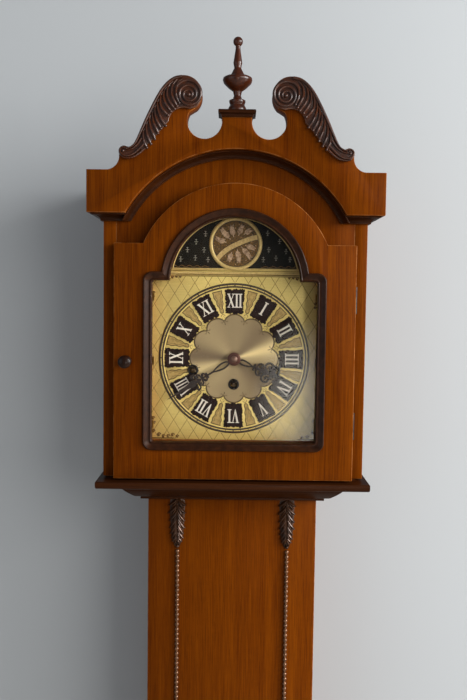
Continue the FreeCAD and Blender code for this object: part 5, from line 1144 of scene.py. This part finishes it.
def makeArch():
    edge = archPath(arch["radius"], arch["centre"], arch["foot"], 60)
    newPiece("archField", plate("archField", [onDial(edge)], dialFace - 0.3 * mm, 0.34), "archField", "case", "black")
    store = ([], [])
    raised(store, archPath(*arch["line"], arch["foot"], 80), 0.2, 1.9, 0.9, 8)
    level = lambda z: [(x, z) for x in (-123.5, -60, 60, 123.5)]
    for z, wide, high in ((134.5, 2.4, 1.3), (128.6, 3.6, 1.0), (125.2, 1.0, 0.8)):
        raised(store, level(z), 0, wide, high, 12)
    formed("archTrim", store, 60, "cream", "case", "gilt")
    store = ([], [])
    for z in (131.9, 126.2, 123.9):
        raised(store, level(z), 0.5, 1.0, 0.5, 6)
    formed("archTrimLines", store, 60, "goldLine", "case", "gilt")
    store = ([], [])
    for x, z in arch["crosses"]:
        raised(store, [(x, z - 4.0), (x, z - 1.2), (x, z + 1.2), (x, z + 4.0)], 0.25,
               lambda t: 0.55 + 1.5 * abs(t - 0.5) ** 1.5, 0.35, 6)
        raised(store, [(x - 2.6, z), (x, z), (x + 2.6, z)], 0.25, lambda t: 0.6 + 1.2 * abs(t - 0.5), 0.35, 6)
        for dx, dz in ((-1.5, -3.6), (1.5, -3.6), (-1.5, 3.6), (1.5, 3.6)):
            raised(store, [(x, z + dz * 0.7), (x + dx, z + dz)], 0.25, 0.5, 0.3, 6)
    formed("archCrosses", store, 60, "crossPale", "case", "gilt")
    store = ([], [])
    for x0, way in ((-96, 1), (96, -1)):
        for k in range(5):
            x = x0 + way * k * 11.5
            wave = [(x, 137.2), (x + way * 2.5, 139.6 - 0.2 * k), (x + way * 5.5, 139.8 - 0.2 * k),
                    (x + way * 7.5, 138.2), (x + way * 9.5, 137.4), (x + way * 11.0, 138.0)]
            raised(store, smoothPath(wave, 14), 0.3, lambda t: 0.7 + 0.6 * math.sin(math.pi * t), 0.4, 6)
    raised(store, [(-123.4, -110), (-123.4, -122.6), (-90, -122.6)], 0.0, 1.6, 0.4, 6)
    raised(store, [(123.4, -112), (123.4, -122.6), (98, -122.6)], 0.0, 1.6, 0.4, 6)
    florets = [(-88, 123.2, 2.4), (-94, 121.6, 2.2), (-82, 122.6, 2.0), (88, 122.8, 2.4), (94, 121.2, 2.4),
               (82, 122.2, 2.0), (-122.6, 98, 2.4), (-122.2, 92, 1.8), (-122, -92, 2.6), (-120.4, -99, 2.3),
               (-121.6, -112, 2.8), (-113, -117.4, 2.9), (-106, -119.6, 2.6), (-99, -119.4, 2.4), (-92, -117.6, 2.7),
               (-85, -119.8, 2.4), (122.2, 84, 2.4), (121.6, 78, 1.9), (122, -94, 2.4), (121.2, -112, 2.6),
               (113, -118.4, 2.6), (105, -119.8, 2.3)]
    for x, z, size in florets:                # each a small curl round a bud
        curl = [(x + size * math.cos(a) * (1 - a / 14), z + size * math.sin(a) * (1 - a / 14))
                for a in (0.5 * k for k in range(12))]
        raised(store, smoothPath(curl, 16), 0.0, size * 0.62, 0.5, 6)
        knobAt(store, onDial([(x, z)])[0], dialFace, size * 0.5, 0.5, 2, 8)
    formed("dialScraps", store, 60, "scrapGold", "case", "gilt")


makeArch()


# Roundel: a gilt rim round cast foliage, crossed by a bare ribbon
roundel = {
    "centre": (0.4, 172.6), "floor": [(34.9, 0.0), (34.9, 0.5), (20, 0.55), (0.01, 0.6)],
    "rim": [(39.9, 0.0), (39.9, 0.9), (39.2, 1.7), (38.0, 2.25), (36.6, 2.4), (35.4, 2.1), (34.7, 1.5), (34.4, 0.7),
            (34.3, 0.1)],
    "ribbon": [(-27.4, -22.6), (-20, -14.6), (-11, -7.4), (0, -1.6), (11, 3.4), (22, 7.6), (32.2, 10.2)],
    "width": 7.8,
    # Leaf sprays: foot, heading in degrees, length, leaflets
    "sprays": [((-8, 6), 128, 23, 9), ((-14, 2), 156, 17, 7), ((-3, 10), 98, 18, 7), ((4, 12), 66, 17, 7),
               ((12, 14), 30, 14, 6), ((8, -4), -52, 25, 9), ((14, -2), -24, 16, 6), ((2, -8), -84, 20, 8),
               ((-6, -12), -112, 15, 6)],
}


def makeRoundel():
    cx, cz = roundel["centre"]
    placed = lambda path: [(x + cx, z + cz) for x, z in path]
    rim = lathe(([], []), roundel["centre"], roundel["rim"], 96)
    formed("roundelRim", rim, 50, "cream", "case", "brass", ("dial_roundel",))
    floor = lathe(([], []), roundel["centre"], roundel["floor"], 64)
    formed("roundelField", floor, 50, "roundelField", "case", "brass")
    store = ([], [])
    for (x, z), heading, length, count in roundel["sprays"]:
        way = Vector((math.cos(math.radians(heading)), math.sin(math.radians(heading))))
        side = Vector((-way.y, way.x))
        foot = Vector((x, z))
        stem = [foot, foot + way * length * 0.5 + side * 1.2, foot + way * length]
        raised(store, placed(smoothPath(stem, 12)), 0.6, lambda t: 1.3 - 0.8 * t, 0.9, 6)
        for k in range(count):
            t = 0.18 + 0.8 * k / count
            at = foot + way * length * t + side * 1.2 * math.sin(math.pi * t)
            for turn in (-1, 1):
                reach = 5.4 * (1 - 0.55 * t)
                leaf = [at, at + way * reach * 0.5 + side * turn * reach * 0.55,
                        at + way * reach * 1.15 + side * turn * reach * 0.7]
                if all(p.length < 33 for p in leaf):
                    raised(store, placed(smoothPath(leaf, 7)), 0.6,
                           lambda t: 0.5 + 1.5 * math.sin(math.pi * min(1, 0.15 + t * 0.85)), 0.85, 6)
    for k in range(40):
        a, r = k * 2.39996, 32.4 * math.sqrt((k + 4) / 44)
        knobAt(store, onDial([(cx + r * math.cos(a), cz + r * math.sin(a))])[0], dialFace - 0.5 * mm, 0.8, 0.7, 2, 7)
    formed("roundelLeaves", store, 60, "roundelLeaf", "case", "brass")
    path = smoothPath(roundel["ribbon"], 26)
    top, low = [], []
    for i, spot in enumerate(path):
        along = (path[min(i + 1, len(path) - 1)] - path[max(i - 1, 0)]).normalized()
        across = Vector((-along.y, along.x)) * roundel["width"] / 2
        top.append((spot.x + across.x + cx, spot.y + across.y + cz))
        low.append((spot.x - across.x + cx, spot.y - across.y + cz))
    band = plate("roundelRibbon", [onDial(top + low[::-1])], dialFace - 1.75 * mm, 1.3)
    newPiece("roundelRibbon", band, "ribbon", "case", "brass")
    store = ([], [])
    raised(store, placed(circle(34.1, 72)), 0.7, 1.3, 0.5, 6, True)
    for line in (top, low):
        raised(store, line, 1.7, 0.7, 0.25, 6)
    formed("ribbonEdges", store, 60, "darkLine", "case", "brass")


makeRoundel()


# Dark grommets round the winding holes: radius and height along the section
grommet = [(8.4, 0.0), (8.4, 0.9), (8.0, 1.7), (7.1, 2.2), (6.1, 2.0), (5.2, 1.3), (4.8, 0.4), (4.7, -1.0)]


def makeGrommets():
    store = ([], [])
    for spot in dial["holes"]:
        lathe(store, spot, grommet, 40)
    formed("grommets", store, 50, "grommet", "case", "bronze", ("winding_collars",))


makeGrommets()
print("arch, roundel and grommets")


# Hands: strands and blades in millimetres up from the hub, turned to their hour and cast as one
handParts = {
    "hour": {
        "angle": 112, "front": -67.0, "node": "hour_hand", "hub": (8.6, 4.5),
        "strands": [
            ([(0, 7), (2.9, 12), (3.3, 18), (1.9, 25), (0.3, 30)], 2.0), ([(0, 29), (0, 36), (0, 44), (0, 58)], 2.2),
            ([(-3.6, 33.4), (-1.6, 33.0), (0, 32.8)], 2.6),
            ([(0.8, 37.6), (3.4, 37.2), (6.4, 38.0), (8.6, 40.4), (8.8, 43.4), (6.8, 45.4), (4.6, 44.4), (4.8, 42.0)],
             2.2),
            ([(0.6, 41), (2.4, 45), (2.8, 49), (1.0, 52.6)], 1.9),
            ([(0.8, 56.6), (3.2, 52.2), (6.2, 48.8), (10.2, 48.2), (13.8, 50.8), (14.8, 55), (12.6, 59.0),
              (8.8, 59.6), (6.4, 57.0), (7.0, 54.2), (9.4, 53.6)], 2.3),
            ([(1.0, 58), (4.0, 60.4), (6.8, 60.2), (7.6, 62.4), (6.0, 64.0)], 2.0),
        ],
        "blade": [(0, 73.4), (1.2, 70.6), (3.2, 68.0), (5.2, 65.2), (5.4, 62.4), (3.6, 60.2), (1.8, 59.4),
                  (1.2, 55.6)],
        "knobs": [(3.8, 33.2, 1.9), (0, 39.6, 2.0), (9.2, 54.6, 1.8), (5.2, 43.2, 1.7), (7.0, 63.0, 1.5)],
    },
    "minute": {
        "angle": 238, "front": -72.5, "node": "minute_hand", "hub": (10.0, 3.4),
        "strands": [
            ([(0, 8), (3.0, 13), (3.9, 20), (2.8, 28), (0.5, 36)], 2.0), ([(0, 35), (0, 44), (0, 54), (0, 66)], 2.0),
            ([(-3.2, 47.2), (-1.4, 46.8), (0, 46.6)], 2.2),
            ([(0.6, 49.6), (3.2, 49.4), (5.6, 51.0), (5.4, 53.8), (3.4, 54.4), (2.8, 52.8)], 1.8),
            ([(0.6, 54), (2.8, 56.6), (6.0, 57.2), (8.4, 59.8), (7.4, 62.6), (5.0, 62.4), (4.6, 60.6)], 1.9),
            ([(0.6, 59), (2.4, 62.4), (5.6, 64.2), (9.2, 64.0), (11.8, 66.4), (11.4, 69.8), (8.6, 70.6), (7.0, 68.6),
              (8.2, 66.8)], 2.0),
        ],
        "blade": [(0, 118.4), (1.1, 110), (1.5, 98), (2.2, 88), (3.6, 79), (5.2, 73), (4.6, 69), (2.6, 66.4),
                  (1.2, 60)],
        "knobs": [(3.2, 47.0, 1.6), (3.6, 52.8, 1.4), (5.4, 60.6, 1.5), (8.6, 68.0, 1.2)],
    },
}


def makeHand(name, part):
    middle = (part["front"] + 0.5) * mm
    turned = lambda path: onDial(turnBy(path, part["angle"]))
    store = ([], [])
    for path, width in part["strands"]:
        line = smoothPath(path, max(10, len(path) * 5))
        sides = (1,) if all(abs(x) < 0.01 for x, z in path) else (-1, 1)
        for side in sides:
            strand(store, turned([(side * p.x, p.y) for p in line]), middle,
                   lambda t: 1.35 * width * (1 - 0.3 * max(0, t - 0.7) / 0.3), 0.5, 8)
    for x, z, radius in part["knobs"]:
        for side in ((1,) if x == 0 else (-1, 1)):
            knobAt(store, turned([(side * x, z)])[0], middle + 0.3 * mm, radius, 0.9, 3, 12)
    ornament = meshOf("ornament", *store, 60)
    side = part["blade"]
    edge = side + [(-x, z) for x, z in reversed(side[1:])]
    blade = plate("blade", [turned(edge)], middle - 0.45 * mm, 0.9)
    outer, inner = part["hub"]
    base = -(part["front"] + 1.0) + dialFace / mm
    boss = [(inner, base), (outer - 0.6, base), (outer, base + 0.4), (outer - 0.5, base + 0.85),
            (outer - 2.2, base + 1.15), (inner + 1.2, base + 1.0), (inner, base + 0.8), (inner, base)]
    hub = meshOf("hub", *lathe(([], []), (0, 0), boss, 48), 50)
    mesh = joined(name, [ornament, blade])
    newPiece(name, mesh, "bronze", bodyOf[part["node"]], "bronze", (part["node"],))
    newPiece(name + "Hub", hub, "hubBronze", bodyOf[part["node"]], "bronze")


for name, part in handParts.items():
    makeHand(name + "HandCast", part)
print("hands cast")


# Hidden and metal nodes keep their CAD shape
carried = {
    "door_glass": "glass", "glass_clips": "brass", "hood_hinges_case": "bronze", "hood_hinges_door": "bronze",
    "trunk_hinges_case": "steel", "trunk_hinges_door": "brass", "front_plate": "brass", "back_plate": "brass",
    "centre_arbor": "steel", "third_wheel": "brass", "escape_wheel": "brass", "minute_wheel": "brass",
    "hour_wheel": "brass", "going_barrel": "brass", "strike_barrel": "brass", "chime_barrel": "brass",
    "going_winding_arbor": "darkBrass", "strike_winding_arbor": "darkBrass", "chime_winding_arbor": "darkBrass",
    "anchor": "steel", "chime_rods": "iron", "hammers": "brass", "pendulum_rod": "pine",
}
for node, look in carried.items():
    piece = frame["nodes"][node]
    if not piece.material_slots:
        piece.data.materials.append(looks[look])
    for entry in piece.material_slots:
        entry.material = looks[look]
for node, look, slot in (("pendulum_bob", "brass", "brass"), ("rating_nut", "brass", "brass"),
                         ("hand_nut", "nut", "brass")):
    dress(node, look, slot, 0.25 * mm)
print("carried nodes:", len(carried))


# Camera, light and room

photoCamera = {"place": (-0.001, -1.269, 1.530), "pitch": 90 - 3.93, "roll": 0.0127, "sensor": 36.0,
               "focal": 800 / 700 * 36.0}


def makeCamera():
    lens = bpy.data.cameras.new("photoCamera")
    lens.sensor_width, lens.sensor_fit, lens.lens = photoCamera["sensor"], "AUTO", photoCamera["focal"]
    holder = linked("photoCamera", lens)
    holder.matrix_world = (Matrix.Translation(photoCamera["place"])
                           @ Euler((math.radians(photoCamera["pitch"]), 0, 0)).to_matrix().to_4x4()
                           @ Matrix.Rotation(photoCamera["roll"], 4, "Z"))
    bpy.context.scene.camera = holder


# Lamps: name -> place, target, size, power, colour
lamps = {
    "windowRight": ((3.3, -1.2, 2.36), (0, 0, 1.4), 1.44, 162.0, "f8f9f8"),
    "lowRight": ((2.7, -0.45, 0.7), (0.3, 0, 0.9), 0.9, 11.0, "f8f9f8"),
    "softRight": ((1.95, -2.25, 2.0), (0, 0, 1.3), 2.0, 46.0, "fbfaf6"),
    "fillLeft": ((-2.4, -2.2, 1.7), (0, 0, 1.2), 2.4, 14.0, "e8eef6"),
}
room = {"wall": "c0c3c6", "floor": "c9c6c0", "wallAt": 0.1175, "half": 7.0, "height": 7.0, "sky": "dfe6ec",
        "skyLight": 0.2}


def makeLamps():
    for name, (place, target, size, power, tint) in lamps.items():
        lamp = bpy.data.lights.new(name, "AREA")
        lamp.size, lamp.energy, lamp.color = size, power, colour(tint)[:3]
        holder = linked(name, lamp)
        holder.location = place
        holder.rotation_euler = (Vector(target) - Vector(place)).to_track_quat("-Z", "Y").to_euler()
    world = bpy.data.worlds.new("studio")
    bpy.context.scene.world = world
    world.use_nodes = True
    back = [n for n in world.node_tree.nodes if n.type == "BACKGROUND"][0]
    back.inputs[0].default_value = colour(room["sky"])
    back.inputs[1].default_value = room["skyLight"]


def stagePiece(name, corners, made):
    # A flat piece of the studio with four corners
    mesh = bpy.data.meshes.new(name)
    mesh.from_pydata(corners, [], [(0, 1, 2, 3)])
    mesh.materials.append(made)
    piece = linked(name, mesh)


def roomMaterial(name, tint):
    made, tree, shader, place = startMaterial(name)
    cloud = groupNode(tree, "patina", {"Vector": place, "Color": colour(tint), "Deep": colour(tint), "Scale": 3.0})
    connect(tree, shader, Base_Color=cloud.outputs["Color"])
    addBump(tree, shader, cloud.outputs["Height"], 0.05, 0.001)
    setShader(shader, Roughness=0.85)
    return made, tree, shader


def makeRoom():
    half, back, height = room["half"], room["wallAt"], room["height"]
    made, tree, shader = roomMaterial("studioWall", room["wall"])
    path = tree.nodes.new("ShaderNodeLightPath")    # seen from the front only, and in nobody's light
    side = addNode(tree, "ShaderNodeNewGeometry").outputs["Backfacing"]
    shown = times(tree, path.outputs["Is Camera Ray"], mathNode(tree, "SUBTRACT", 1.0, side))
    mixedOut(tree, shown, tree.nodes.new("ShaderNodeBsdfTransparent"), shader)
    corners = ((-half, -0.001), (half, -0.001), (half, height), (-half, height))
    stagePiece("studioWall", [(x, back, z) for x, z in corners], made)
    made, tree, shader = roomMaterial("studioFloor", room["floor"])
    corners = ((-half, -half), (half, -half), (half, half), (-half, half))
    stagePiece("studioFloor", [(x, y, -0.0005) for x, y in corners], made)


# A pale panel behind the camera that only mirrors see: the soft haze in the glass, low on the right
card = {"place": (0.31, -2.4, 1.02), "half": (0.24, 0.42), "strength": 8.0, "tint": "f0ece4"}


def makeCard():
    (x, y, z), (across, up) = card["place"], card["half"]
    made, tree, shader, place = startMaterial("studioCard")
    centred = vectorMath(tree, "SUBTRACT", place, card["place"])
    reach = lengthOf(tree, vectorMath(tree, "MULTIPLY", centred, (1 / across, 0, 1 / up)))
    setShader(shader, Base_Color=(0, 0, 0, 1), Roughness=1.0, Specular_IOR_Level=0.0,
              Emission_Color=colour(card["tint"]))
    connect(tree, shader, Emission_Strength=spread(tree, reach, 1.0, 0.35, 0.0, card["strength"]))
    path = tree.nodes.new("ShaderNodeLightPath")
    mixedOut(tree, path.outputs["Is Glossy Ray"], tree.nodes.new("ShaderNodeBsdfTransparent"), shader)
    corners = [(x - across, y, z - up), (x - across, y, z + up), (x + across, y, z + up), (x + across, y, z - up)]
    stagePiece("studioCard", corners, made)


makeCamera()
makeLamps()
makeRoom()
makeCard()
bpy.context.scene.view_settings.view_transform = "Standard"
print("camera, lamps and room")
